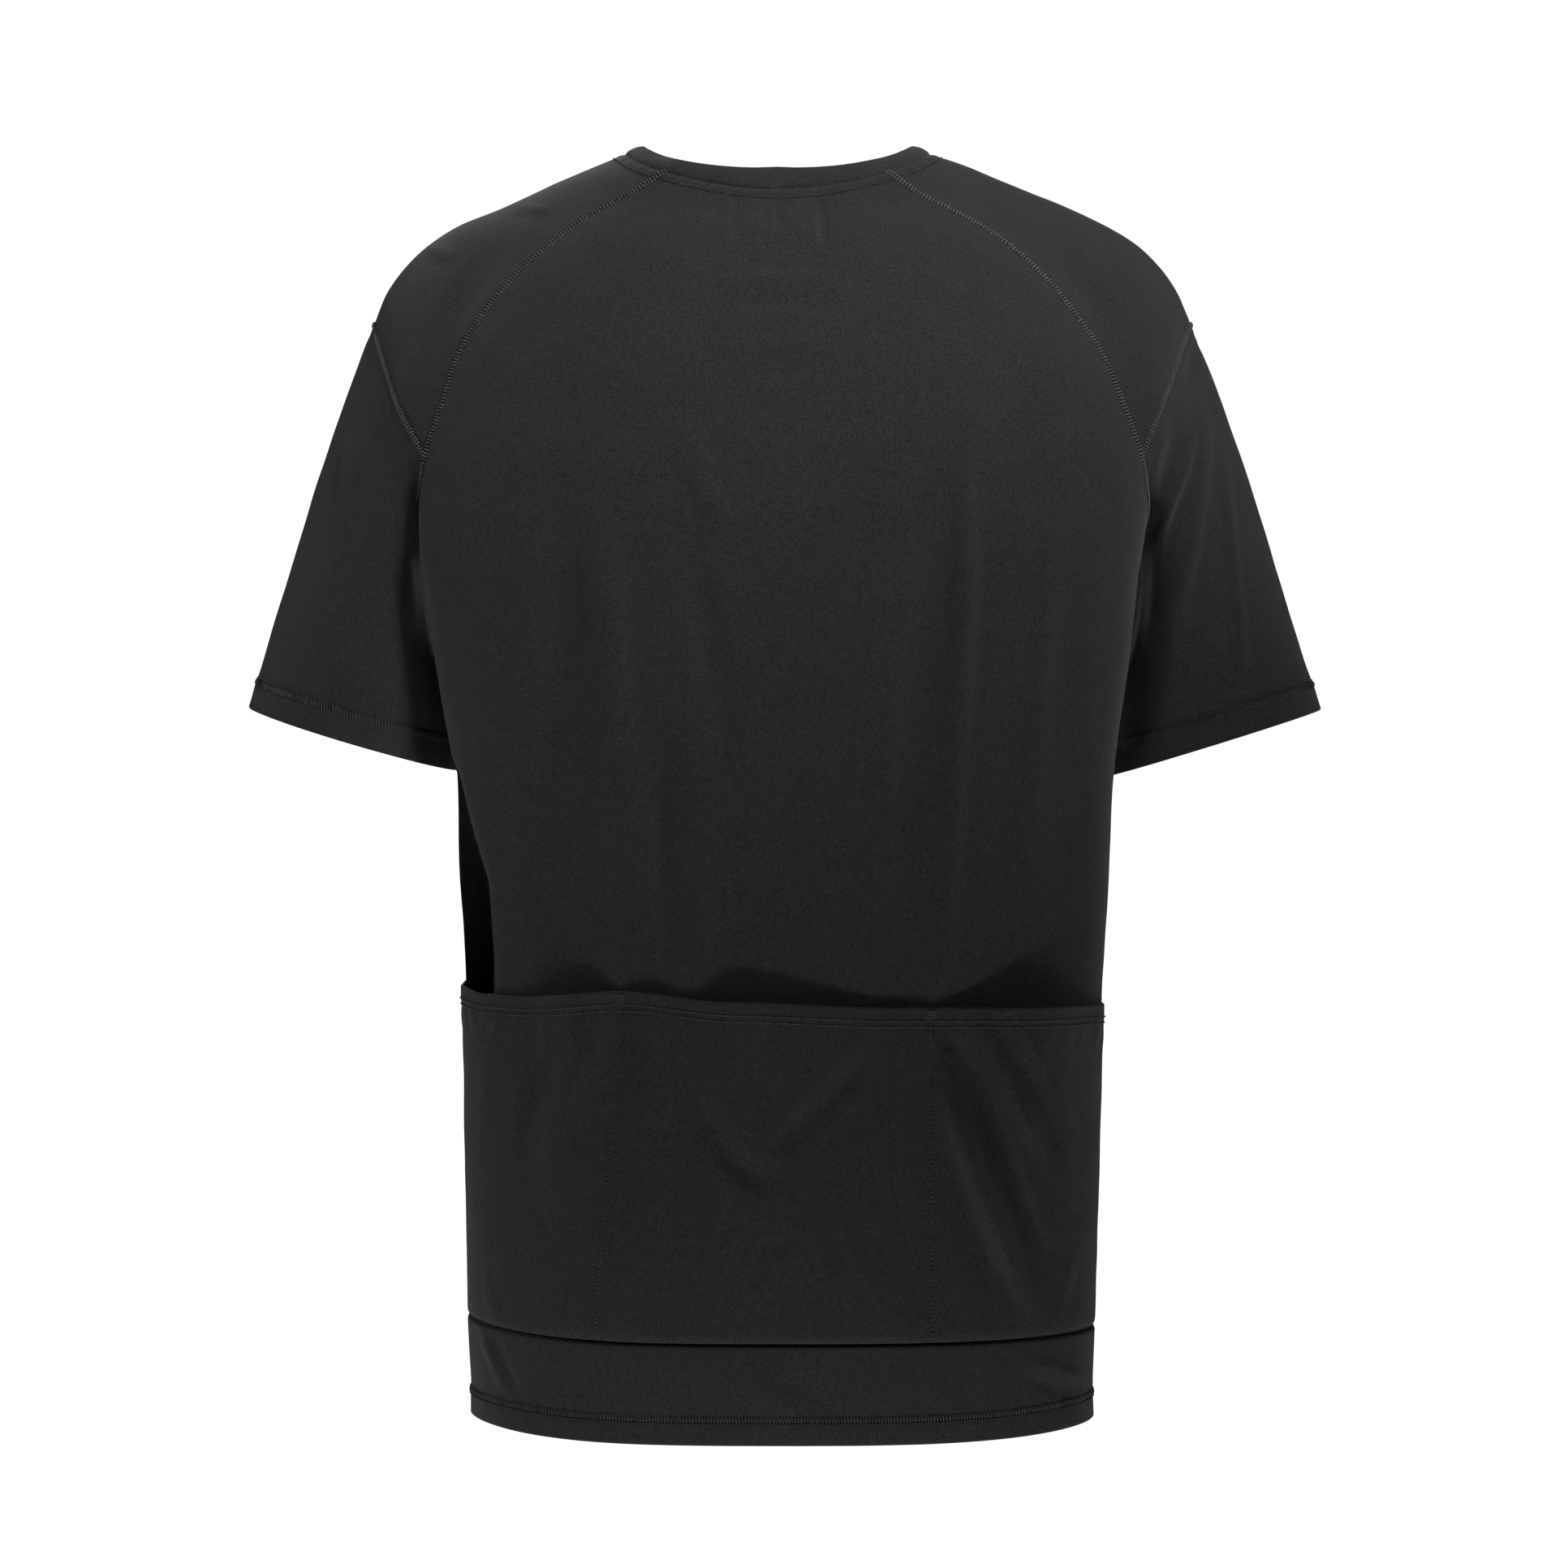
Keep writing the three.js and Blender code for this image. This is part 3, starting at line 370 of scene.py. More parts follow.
def along(values, place):
    """A smooth curve through the values of a column; place counts its rows."""
    last = len(values) - 1
    at = np.clip(np.asarray(place, float), 0, last)
    i = np.minimum(at.astype(int), last - 1)
    t = at - i
    slopes = np.gradient(values)
    rise = values[i + 1] - values[i]
    a = slopes[i] - rise
    b = rise - slopes[i + 1]
    return values[i] + t * rise + t * (1 - t) * ((1 - t) * a + t * b)


def between(wanted, run, values):
    """Values in threes, interpolated at a place or places on a run."""
    return np.stack([np.interp(wanted, run, values[:, k]) for k in range(3)], -1)


def lengths(line):
    """The distance along a line of points at each of its points."""
    return np.append(0, np.cumsum(np.linalg.norm(np.diff(line, axis=0), axis=1)))


def at_lengths(line, wanted):
    """Points at given distances along a line of points."""
    return between(wanted, lengths(line), line)


def stops(length, count, low=True, high=True):
    """Distances that divide a length, crowded at its low end, its high end or both."""
    scale = min(1, length / SHORT_WAY)
    edge = np.array(EDGE_STEPS, float) * scale
    room = EDGE_ROOM * scale
    start = edge if low else np.zeros(0)
    finish = length - edge[::-1] if high else np.zeros(0)
    first = room if low else 0
    last = length - room if high else length
    middle = np.linspace(first, last, count + 1 - len(start) - len(finish))
    return np.concatenate([start, middle, finish])


def width_at(y, half, widest, depth, square):
    """How wide a section is at a depth."""
    part = np.clip((y - widest) / (depth - widest), 0, 1)
    return half * (1 - part ** square) ** (1 / square)


def half_row(section, side, facing):
    """One row of a panel on one side, from the centre line to its seam."""
    half = section[side]
    own = section[facing]
    widest = section["widest"]
    seam = section["seam"]
    square = BACK_SQUARENESS if facing == "back" else section["square"]
    past = facing == "back" and seam < widest
    stop = widest if past else seam
    part = min(1, max(0, (stop - widest) / (own - widest)))
    turn = np.linspace(0, math.acos(part ** (square / 2)), SECTION_STEPS + 1)
    x = half * np.sin(turn) ** (2 / square)
    y = widest + (own - widest) * np.maximum(np.cos(turn), 0) ** (2 / square)
    if past:
        more = np.linspace(widest, seam, SECTION_STEPS // 2 + 1)[1:]
        x = np.append(x, width_at(more, half, widest, section["front"], section["square"]))
        y = np.append(y, more)
    out = np.minimum(1, x / x[-1])
    z = section["middle"] + (section["edge"] - section["middle"]) * out ** section["bend"]
    return np.stack([x * SIDES[side], y, z], 1)


def full_row(sections, facing, half_columns):
    """A whole row, from the left seam over the centre line to the right seam."""
    halves = []
    for side in SIDES:
        line = half_row(sections[side], side, facing)
        halves.append(at_lengths(line, stops(lengths(line)[-1], half_columns, low=False)))
    return np.concatenate([halves[0][::-1], halves[1][1:]])


def upper_section(facing, place):
    """The section above the underarm at a row of its table."""
    columns = UPPER[facing]
    section = {name: float(along(columns[name], place)) for name in columns}
    section[facing] = section["depth"]
    section["bend"] = NECK_BEND
    if facing == "back":
        section["front"] = LOWER["front"][0]
        section["square"] = LOWER["square"][0]
    return section


def below_place(height):
    """The row of the lower sections at a height."""
    places = np.linspace(0, len(LOWER["edge"]) - 1, 400)
    return np.interp(-np.asarray(height, float), -along(LOWER["edge"], places), places)


def lower_section(edge, middle):
    """The section below the underarm at a height at its seam and on the centre line."""
    place = below_place(edge)
    section = {name: float(along(LOWER[name], place)) for name in LOWER}
    return section | {"edge": edge, "middle": middle, "bend": HEM_BEND}


def seam_places(facing, first, last, parts):
    """The rows of a table that divide its left seam, in parts of its length."""
    places = np.linspace(first, last, 81)
    rows = [half_row(upper_section(facing, p), "left", facing)[-1] for p in places]
    run = lengths(np.array(rows))
    return np.interp(np.asarray(parts) * run[-1], run, places)


# The rows of each part, as shares of the way down it.
RAGLAN_PARTS = stops(RAGLAN_RUN, RAGLAN_ROWS) / RAGLAN_RUN
ARMHOLE_PARTS = np.linspace(0, 1, ARMHOLE_ROWS + 1)
SIDE_PARTS = np.linspace(0, 1, SIDE_ROWS + 1)
BAND_PARTS = stops(BAND_RUN, BAND_ROWS) / BAND_RUN
SLEEVE_PARTS = stops(SLEEVE_RUN, SLEEVE_ROWS) / SLEEVE_RUN
NECKBAND_PARTS = stops(NECKBAND_RUN, NECKBAND_ROWS) / NECKBAND_RUN
POCKET_PARTS = stops(POCKET_RUN, POCKET_ROWS) / POCKET_RUN


def upper_places(facing):
    """The rows of a table that a panel has between the neckline and the underarm."""
    last = len(UPPER[facing]["edge"]) - 1
    raglan = seam_places(facing, 0, JUNCTION[facing], RAGLAN_PARTS)
    armhole = seam_places(facing, JUNCTION[facing], last, ARMHOLE_PARTS)
    return np.concatenate([raglan, armhole[1:]])


def upper_rows(facing, half_columns):
    """The rows of a panel from the neckline to the underarm."""
    rows = []
    for place in upper_places(facing):
        section = upper_section(facing, place)
        rows.append(full_row({"left": section, "right": section}, facing, half_columns))
    return rows


def lower_rows(facing, half_columns):
    """The rows of a panel from the underarm over the seam above the band to the hem."""
    start = {"left": UNDERARM, "right": UNDERARM, "middle": UNDERARM}
    hem = {"left": HEM["left"], "right": HEM["right"], "middle": HEM["middle_" + facing]}
    rows = []
    for low, high, parts in ((start, BAND_SEAM, SIDE_PARTS), (BAND_SEAM, hem, BAND_PARTS)):
        for part in parts[1:]:
            at = {name: low[name] + (high[name] - low[name]) * part for name in low}
            sections = {side: lower_section(at[side], at["middle"]) for side in SIDES}
            rows.append(full_row(sections, facing, half_columns))
    return rows


def hermite(start, leave, end, arrive, t):
    """A curve between two points, which leaves and arrives in given ways."""
    u = 1 - t
    return (start * u * u * (1 + 2 * t) + leave * u * u * t
            + end * t * t * (3 - 2 * t) - arrive * u * t * t)


def inner_points(facing, side):
    """Points a little inwards of a raglan seam, which give the way that a panel leaves it."""
    points = []
    for place in seam_places(facing, 0, JUNCTION[facing], RAGLAN_PARTS):
        line = half_row(upper_section(facing, place), side, facing)
        points.append(at_lengths(line, [lengths(line)[-1] * (1 - LOOK_BACK[facing])])[0])
    return np.array(points)


def catmull_rom(points, count):
    """A smooth curve through points, with centripetal spacing."""
    padded = np.concatenate([[2 * points[0] - points[1]], points, [2 * points[-1] - points[-2]]])
    curve = []
    for k in range(len(points) - 1):
        p = padded[k:k + 4]
        knots = np.append(0, np.cumsum(np.linalg.norm(np.diff(p, axis=0), axis=1) ** 0.5))
        t = np.linspace(knots[1], knots[2], count, endpoint=False)[:, None]
        ways = [p[i] + (p[i + 1] - p[i]) * (t - knots[i]) / (knots[i + 1] - knots[i])
                for i in range(3)]
        ways = [ways[i] + (ways[i + 1] - ways[i]) * (t - knots[i]) / (knots[i + 2] - knots[i])
                for i in range(2)]
        curve.append(ways[0] + (ways[1] - ways[0]) * (t - knots[1]) / (knots[2] - knots[1]))
    return np.concatenate(curve + [points[-1:]])


def yoke_rows(side, back, front):
    """The shoulder piece: arches from the back raglan seam over the ridge to the front one."""
    sign = SIDES[side]
    column = 0 if side == "left" else -1
    count = len(RAGLAN_PARTS)
    seams = [np.array([row[column] for row in rows[:count]]) for rows in (back, front)]
    ways = []
    square = smooth(3 * RAGLAN_PARTS)[:, None]
    for seam, facing in zip(seams, ("back", "front")):
        row_way = unit(seam - inner_points(facing, side))
        run = unit(np.gradient(seam, axis=0))
        leaving = unit(row_way - run * (row_way * run).sum(1, keepdims=True))
        ways.append(unit(row_way + (leaving - row_way) * square))
    places = np.linspace(0, len(RIDGE["y"]) - 1, 90)
    ridge = np.stack([along(RIDGE[side], places) * sign, along(RIDGE["y"], places),
                      along(RIDGE["z_" + side], places)], 1)
    ridge = at_lengths(ridge, RAGLAN_PARTS * lengths(ridge)[-1])
    cap_points = np.stack([CAP[side] * sign, CAP["y"], CAP["z"]], 1)
    cap = catmull_rom(np.concatenate([seams[0][-1:], cap_points, seams[1][-1:]]), 20)
    over = np.array([0.0, -1.0, 0.0])
    t = np.linspace(0, 1, 41)[:, None]
    rows = []
    for i in range(count):
        reach = [np.linalg.norm(seam[i] - ridge[i]) * SHOULDER_FULLNESS for seam in seams]
        first = hermite(seams[0][i], ways[0][i] * reach[0], ridge[i], over * reach[0], t)
        second = hermite(seams[1][i], ways[1][i] * reach[1], ridge[i], -over * reach[1], t)
        arch = np.concatenate([first, second[::-1][1:]])
        rows.append(at_lengths(arch, stops(lengths(arch)[-1], YOKE_COLUMNS)))
    rows = np.array(rows)
    pull = at_lengths(cap, stops(lengths(cap)[-1], YOKE_COLUMNS)) - rows[-1]
    pull[0] = 0
    pull[-1] = 0
    rows += pull[None] * (RAGLAN_PARTS ** 3)[:, None, None]
    rows[:, 0] = seams[0]
    rows[:, -1] = seams[1]
    return rows


def beside_body(side, y, z):
    """How far out a sleeve must lie beside the body at a depth and a height."""
    place = below_place(np.minimum(z, UNDERARM))
    at = {name: along(LOWER[name], place) for name in LOWER}
    is_back = y >= at["widest"]
    depth = np.where(is_back, at["back"], at["front"])
    square = np.where(is_back, BACK_SQUARENESS, at["square"])
    return width_at(y, at[side], at["widest"], depth, square)


def sleeve_rows(side, back, front, yoke):
    """The sleeve: lengthwise curves from the armhole and the cap seam to the cuff ring."""
    sign = SIDES[side]
    column = 0 if side == "left" else -1
    top = len(RAGLAN_PARTS) - 1
    underarm = top + ARMHOLE_ROWS
    before_at = 1 - LOOK_BACK["yoke"]
    k = int(np.searchsorted(RAGLAN_PARTS, before_at))
    mix = (before_at - RAGLAN_PARTS[k - 1]) / (RAGLAN_PARTS[k] - RAGLAN_PARTS[k - 1])
    before = yoke[k - 1] * (1 - mix) + yoke[k] * mix
    ways = unit(yoke[-1] - before)
    way_down = np.array([UNDERARM_WAY[0] * sign, 0, UNDERARM_WAY[1]])
    start, leave, turns = [], [], []
    for step in range(ARMHOLE_ROWS + 1):
        part = step / ARMHOLE_ROWS
        start.append(back[underarm - step][column])
        leave.append(unit(way_down * (1 - part) + ways[0] * part))
        turns.append(JUNCTION_TURN * part)
    run = lengths(yoke[-1])
    for j in range(1, YOKE_COLUMNS + 1):
        start.append(yoke[-1][j])
        leave.append(ways[j])
        turns.append(JUNCTION_TURN + (360 - 2 * JUNCTION_TURN) * run[j] / run[-1])
    for step in range(ARMHOLE_ROWS - 1, 0, -1):
        part = step / ARMHOLE_ROWS
        start.append(front[underarm - step][column])
        leave.append(unit(way_down * (1 - part) + ways[-1] * part))
        turns.append(360 - JUNCTION_TURN * part)
    start, leave, turns = np.array(start), np.array(leave), np.radians(turns)
    cuff = CUFF[side]
    axis = unit(np.array([cuff["out_z"] * sign, 0, -cuff["out_x"]]))
    out = -np.cos(turns)
    across = np.sin(turns)
    end = np.stack([sign * (cuff["x"] + cuff["out_x"] * out), cuff["y"] + cuff["depth"] * across,
                    cuff["z"] + cuff["out_z"] * out - cuff["sag"] * np.abs(across)], 1)
    reach = np.linalg.norm(end - start, axis=1, keepdims=True)
    rows = [start]
    for s in SLEEVE_PARTS[1:]:
        v = s * (1 + ROW_CROWDING * (1 - s))
        p = hermite(start, leave * reach * SLEEVE_FULLNESS, end, axis * reach * CUFF_FULLNESS, v)
        clear = (beside_body(side, p[:, 1], p[:, 2]) + ARMHOLE_CLEARANCE
                 + (ARM_CLEARANCE - ARMHOLE_CLEARANCE) * smooth(v * 4))
        low = smooth((BESIDE_BODY["top"] - p[:, 2]) / BESIDE_BODY["over"])
        x = np.abs(p[:, 0])
        pushed = (x + clear + np.hypot(x - clear, 2)) / 2
        p[:, 0] = sign * (x + (pushed - x) * low)
        rows.append(p)
    return ease_underarm(side, np.array(rows))


def ease_underarm(side, rows):
    """Evens out the sleeve beside the armhole, and keeps it clear of the body."""
    sign = SIDES[side]
    down, round_ = rows.shape[:2]
    aside = np.minimum(np.arange(round_), round_ - np.arange(round_))
    near = np.exp(-(aside / EASE_COLUMNS) ** 4)
    weight = 0.5 * near[None, :] * smooth((1 - np.arange(down) / EASE_ROWS) * 2)[:, None]
    weight[0] = 0
    for k in range(RELAX_ROUNDS):
        mean = (np.roll(rows, 1, 1) + np.roll(rows, -1, 1)) / 4
        mean[1:-1] += (rows[:-2] + rows[2:]) / 4
        rows += (mean - rows) * weight[..., None]
        if k % EASE_CHECK == 0:
            clear = beside_body(side, rows[..., 1], rows[..., 2]) + ARMHOLE_CLEARANCE
            low = smooth((BESIDE_BODY["top"] - rows[..., 2]) / BESIDE_BODY["over"])
            x = np.abs(rows[..., 0])
            rows[1:, :, 0] = sign * (x + np.maximum(clear - x, 0) * low)[1:]
    return rows


def neckband_rows(back, front, yokes):
    """The neckband: once round the neckline, starting at the left end of the back."""
    ring = np.concatenate([back[0], yokes["right"][0][1:], front[0][::-1][1:],
                           yokes["left"][0][::-1][1:-1]])
    shoulder = {side: yokes[side][0][YOKE_COLUMNS // 2] for side in SIDES}
    top = []
    for p in ring:
        end = shoulder["left" if p[0] > 0 else "right"]
        turn = math.asin(min(1, abs(p[0]) / abs(end[0]))) / (math.pi / 2)
        place = turn if p[1] > end[1] else 2 - turn
        lean = np.array([-np.sign(p[0]) * along(LEAN["inwards"], place), along(LEAN["y"], place),
                         along(LEAN["z"], place)])
        top.append(p + lean)
    top = np.array(top)
    return ring[None] + (top - ring)[None] * NECKBAND_PARTS[:, None, None]


class Cloth:
    """A piece of cloth as a grid of points, row by row, with its outward normals."""

    def __init__(self, points, outward, ring=False):
        self.points = np.array(points, float)
        self.outward = outward
        self.ring = ring
        self.thick = None
        self.base = self.points.copy()
        self.normals = self.find_normals()

    def find_normals(self):
        """The outward way at each point."""
        p = self.points
        if self.ring:
            across = np.roll(p, -1, 1) - np.roll(p, 1, 1)
        else:
            across = np.gradient(p, axis=1)
        down = np.gradient(p, axis=0)
        return unit(np.cross(across, down) * self.outward)

    def run_down(self):
        """The distance of each point from the top edge."""
        step = np.linalg.norm(np.diff(self.base, axis=0), axis=2)
        return np.concatenate([np.zeros((1, step.shape[1])), np.cumsum(step, axis=0)])

    def run_across(self):
        """The distance of each point from the left edge."""
        step = np.linalg.norm(np.diff(self.base, axis=1), axis=2)
        return np.concatenate([np.zeros((step.shape[0], 1)), np.cumsum(step, axis=1)], 1)

    def edge_distances(self):
        """The distance of each point from each edge."""
        down = self.run_down()
        across = self.run_across()
        return {"top": down, "bottom": down[-1:] - down,
                "left": across, "right": across[:, -1:] - across}

    def move(self, amount):
        """Moves each point along its normal."""
        self.points = self.points + self.normals * amount[..., None]

    def line(self, edge, distance):
        """The points and normals of a line at a distance from the top or the bottom edge."""
        away = self.edge_distances()[edge]
        wanted = np.broadcast_to(distance, away.shape[1:])
        points, normals = [], []
        for j in range(away.shape[1]):
            order = slice(None) if edge == "top" else slice(None, None, -1)
            run = away[order, j]
            points.append(between(wanted[j], run, self.points[order, j]))
            normals.append(between(wanted[j], run, self.normals[order, j]))
        return np.array(points), unit(np.array(normals))


def crease_rise(name, x, z):
    """How far the creases of a piece move each point along its normal."""
    total = np.zeros_like(x)
    t = np.linspace(0, 1, 9)
    for x0, z0, x1, z1, x2, z2, half, rise in CREASES[name]:
        # The middle point is on the curve, so the handle lies beyond it.
        hx, hz = 2 * x1 - (x0 + x2) / 2, 2 * z1 - (z0 + z2) / 2
        cx = (1 - t) ** 2 * x0 + 2 * t * (1 - t) * hx + t * t * x2
        cz = (1 - t) ** 2 * z0 + 2 * t * (1 - t) * hz + t * t * z2
        nearest = np.full_like(x, np.inf)
        place = np.zeros_like(x)
        for k in range(len(t) - 1):
            dx, dz = cx[k + 1] - cx[k], cz[k + 1] - cz[k]
            s = np.clip(((x - cx[k]) * dx + (z - cz[k]) * dz) / (dx * dx + dz * dz), 0, 1)
            away = np.hypot(x - cx[k] - s * dx, z - cz[k] - s * dz)
            closer = away < nearest
            nearest = np.where(closer, away, nearest)
            place = np.where(closer, (k + s) / (len(t) - 1), place)
        fade = smooth(place * 2.4) * smooth((1 - place) * 3.2)
        uneven = 1 + 0.18 * np.sin(place * 11 + x0)
        total += rise * fade * uneven * np.maximum(0, 1 - (nearest / half) ** 2) ** 2
    return total


def unevenness(points, scale, seed):
    """Soft noise over the cloth, from -1 to 1."""
    flat = points.reshape(-1, 3) / scale + seed
    values = [noise.noise(Vector(p)) for p in flat]
    return np.array(values).reshape(points.shape[:2])


def fade_near(cloth, edges, over):
    """0 at the given edges of a piece, and 1 further from them."""
    away = cloth.edge_distances()
    nearest = np.full(cloth.points.shape[:2], np.inf)
    for edge in edges:
        nearest = np.minimum(nearest, away[edge])
    return smooth(nearest / over)


def share_normals(cloths):
    """Points on a seam take one normal from all the pieces that meet there."""
    sums = {}
    keys = []
    for cloth in cloths:
        flat = np.round(cloth.base.reshape(-1, 3), 2)
        mine = [tuple(p) for p in flat]
        keys.append(mine)
        normals = cloth.normals.reshape(-1, 3)
        for key, normal in zip(mine, normals):
            sums[key] = sums.get(key, 0) + normal
    for cloth, mine in zip(cloths, keys):
        shared = np.array([sums[key] for key in mine])
        cloth.normals = unit(shared).reshape(cloth.points.shape)


def groove(away, width, depth):
    """A soft groove at a seam, by the distance from it."""
    return -depth * np.exp(-(away / width) ** 2)


def puckers(along_seam, away, pitch, reach, height):
    """Small waves that a seam draws into the cloth beside it."""
    wave = (np.sin(2 * math.pi * along_seam / pitch)
            + 0.6 * np.sin(2 * math.pi * along_seam / (pitch * 0.61) + 1))
    return height * wave * np.exp(-(away / reach) ** 2)


def mouth_height(x):
    """The height of the pocket mouth at each place across."""
    xs, zs = np.array(MOUTH, float).T
    k = np.clip(np.searchsorted(-xs, -x) - 1, 0, len(xs) - 2)
    part = smooth((xs[k] - x) / (xs[k] - xs[k + 1]))
    return zs[k] + (zs[k + 1] - zs[k]) * part


def gape(x):
    """How far the pocket's mouth stands off the back at each place across."""
    places, outs = np.array(GAPE, float).T
    shifts = (-4, -2, 0, 2, 4)
    total = np.zeros_like(x)
    for shift in shifts:
        total += np.interp(-x + shift, -places, outs)
    return total / len(shifts)


def divider(side, down):
    """Where a dividing row lies across, by the share of the way down the pocket."""
    top, low = DIVIDERS[side]
    return top + (low - top) * down


def build_shape(sizes):
    """Works out every piece of cloth."""
    back, front = (upper_rows(facing, half_columns) + lower_rows(facing, half_columns)
                   for facing, half_columns in HALF_COLUMNS.items())
    underarm = RAGLAN_ROWS + ARMHOLE_ROWS
    for i in range(underarm, len(front)):
        front[i][0] = back[i][0]
        front[i][-1] = back[i][-1]
    band_row = underarm + SIDE_ROWS
    yokes = {side: yoke_rows(side, back, front) for side in SIDES}
    sleeves = {side: sleeve_rows(side, back, front, yokes[side]) for side in SIDES}
    cloths = {
        "back": Cloth(back[:band_row + 1], -1),
        "band": Cloth(back[band_row:], -1),
        "front": Cloth(front, 1),
    }
    for side, sign in SIDES.items():
        cloths["yoke_" + side] = Cloth(yokes[side], sign)
    for side, sign in SIDES.items():
        cloths["sleeve_" + side] = Cloth(sleeves[side], sign, ring=True)
    cloths["neckband"] = Cloth(neckband_rows(back, front, yokes), 1, ring=True)
    share_normals(list(cloths.values()))
    for name, cloth in cloths.items():
        shape_cloth(name, cloth, sizes)
    band = cloths["band"]
    level_with_pocket = sizes.pocket_seat / MM + sizes.cloth / MM
    band.move(level_with_pocket * smooth(1 - band.edge_distances()["top"] / BAND_EASE))
    cloths["pocket"] = pocket_cloth(cloths["back"], sizes)
    fold_recess(cloths["back"])
    add_allowance(band)
    for side in SIDES:
        tuck_beside_body(side, cloths["sleeve_" + side])
    for cloth in cloths.values():
        cloth.normals = cloth.find_normals()
    return cloths


def shape_cloth(name, cloth, sizes):
    """Gives one piece its creases, unevenness, seam grooves, puckers and hem."""
    away = cloth.edge_distances()
    x, z = cloth.base[..., 0], cloth.base[..., 2]
    cloth_mm = sizes.cloth / MM
    seam_depth = sizes.seam_groove / MM
    strength = sizes.crease_strength
    is_sleeve = name.startswith("sleeve")
    moved = np.zeros(x.shape)
    if SEAMS[name]:
        if is_sleeve:
            facing_back = cloth.normals[..., 1]
            moved += crease_rise(name, x, z) * smooth(0.5 + 2 * facing_back) * strength
            moved += crease_rise(name + "_front", x, z) * smooth(0.5 - 2 * facing_back) * strength
        else:
            moved += crease_rise(name, x, z) * strength
        moved += 0.7 * unevenness(cloth.base, scale=58, seed=3.1) * strength
        moved += 0.35 * unevenness(cloth.base, scale=21, seed=11.7) * strength
        moved *= fade_near(cloth, SEAMS[name], SEAM_FADE)
    for edge in SEAMS[name]:
        along_seam = cloth.run_down() if edge in SIDES else cloth.run_across()
        moved += groove(away[edge], width=1.3, depth=seam_depth)
        moved += puckers(along_seam, away[edge] - 4, pitch=11, reach=4.5, height=0.16)
    if name in BAND_SEAM_EDGE:
        from_side = np.minimum(away["left"], away["right"])
        depth = BAND_GROOVE["depth"] * smooth(from_side / BAND_GROOVE["fade"])
        moved += groove(away[BAND_SEAM_EDGE[name]], BAND_GROOVE["width"], depth)
    cloth.thick = np.full(x.shape, cloth_mm)
    if name in HEM_DEPTH:
        depth = HEM_DEPTH[name]
        folded = smooth((depth + 1 - away["bottom"]) / 1.6)
        cloth.thick = cloth_mm * (1 + 0.9 * folded)
        moved += 0.3 * folded + groove(away["bottom"] - depth, width=1.6, depth=0.35)
        moved += puckers(cloth.run_across(), away["bottom"] - depth,
                         pitch=13, reach=6, height=0.22)
    if is_sleeve:
        run = cloth.run_across()
        from_underarm_seam = np.minimum(run, run[:, -1:] + 3 - run)
        moved += groove(from_underarm_seam, width=1.4, depth=0.5) * smooth(away["top"] / 10)
    if name == "neckband":
        share = away["top"] / (away["top"] + away["bottom"])
        moved += (1.1 * np.sin(math.pi * share) ** 0.8
                  + groove(away["top"], width=1.2, depth=seam_depth))
        moved += 0.12 * unevenness(cloth.base, scale=9, seed=5.5)
        cloth.thick = cloth_mm * 2.2 * np.ones(x.shape)
    if name in ("back", "yoke_left", "yoke_right", "front"):
        moved += (groove(away["top"] - NECK_ROW, width=1.0, depth=0.28)
                  + 0.2 * np.exp(-((away["top"] - 3.6) / 2) ** 2))
    cloth.move(moved)


def add_allowance(band):
    """Turns the band's seam allowance in under the back's edge, so that the seam is closed."""
    top, outwards = band.points[0], band.normals[0]
    level = top - outwards * ALLOWANCE["in"] - UP * ALLOWANCE["thick"]
    rows = np.stack([level + UP * ALLOWANCE["up"], level])
    band.points = np.concatenate([rows, band.points])
    band.base = np.concatenate([rows, band.base])
    band.thick = np.concatenate([np.full(rows.shape[:2], ALLOWANCE["thick"]), band.thick])


def fold_recess(back):
    """Draws the cloth in behind the lip of the deep fold at the left side."""
    x, y, z = (back.points[..., k] for k in range(3))
    heights = np.array([h for _, h in RECESS_LIP], float)
    lip = np.interp(-z, -heights, [a for a, _ in RECESS_LIP])
    past = smooth((x - lip) / RECESS["lip"])
    side_seam = y[:, :1]
    inwards = np.maximum(0, y - side_seam - RECESS["behind_seam"])
    upright = (smooth((heights[0] - z) / RECESS["start"])
               * smooth((z - (RECESS["end"] - RECESS["fade"])) / RECESS["fade"]))
    left = smooth((x - RECESS["side"]) / RECESS["side_fade"])
    back.points[..., 1] -= inwards * past * upright * left


def tuck_beside_body(side, sleeve):
    """Draws the back of a sleeve in where it lies beside the body."""
    x, y, z = (sleeve.points[..., k] for k in range(3))
    edge = along(LOWER[side], below_place(np.minimum(z, UNDERARM)))
    beyond = np.clip(1 - (np.abs(x) - edge) / TUCK["over"], 0, 1.15) ** 2
    upright = smooth((TUCK["top"] - z) / TUCK["fade"])
    behind = smooth((y - TUCK["shallow"]) / TUCK["deep"])
    above_cuff = 0.5 + 0.5 * smooth(sleeve.edge_distances()["bottom"] / TUCK["cuff"])
    sleeve.points[..., 1] -= TUCK[side] * beyond * upright * behind * above_cuff


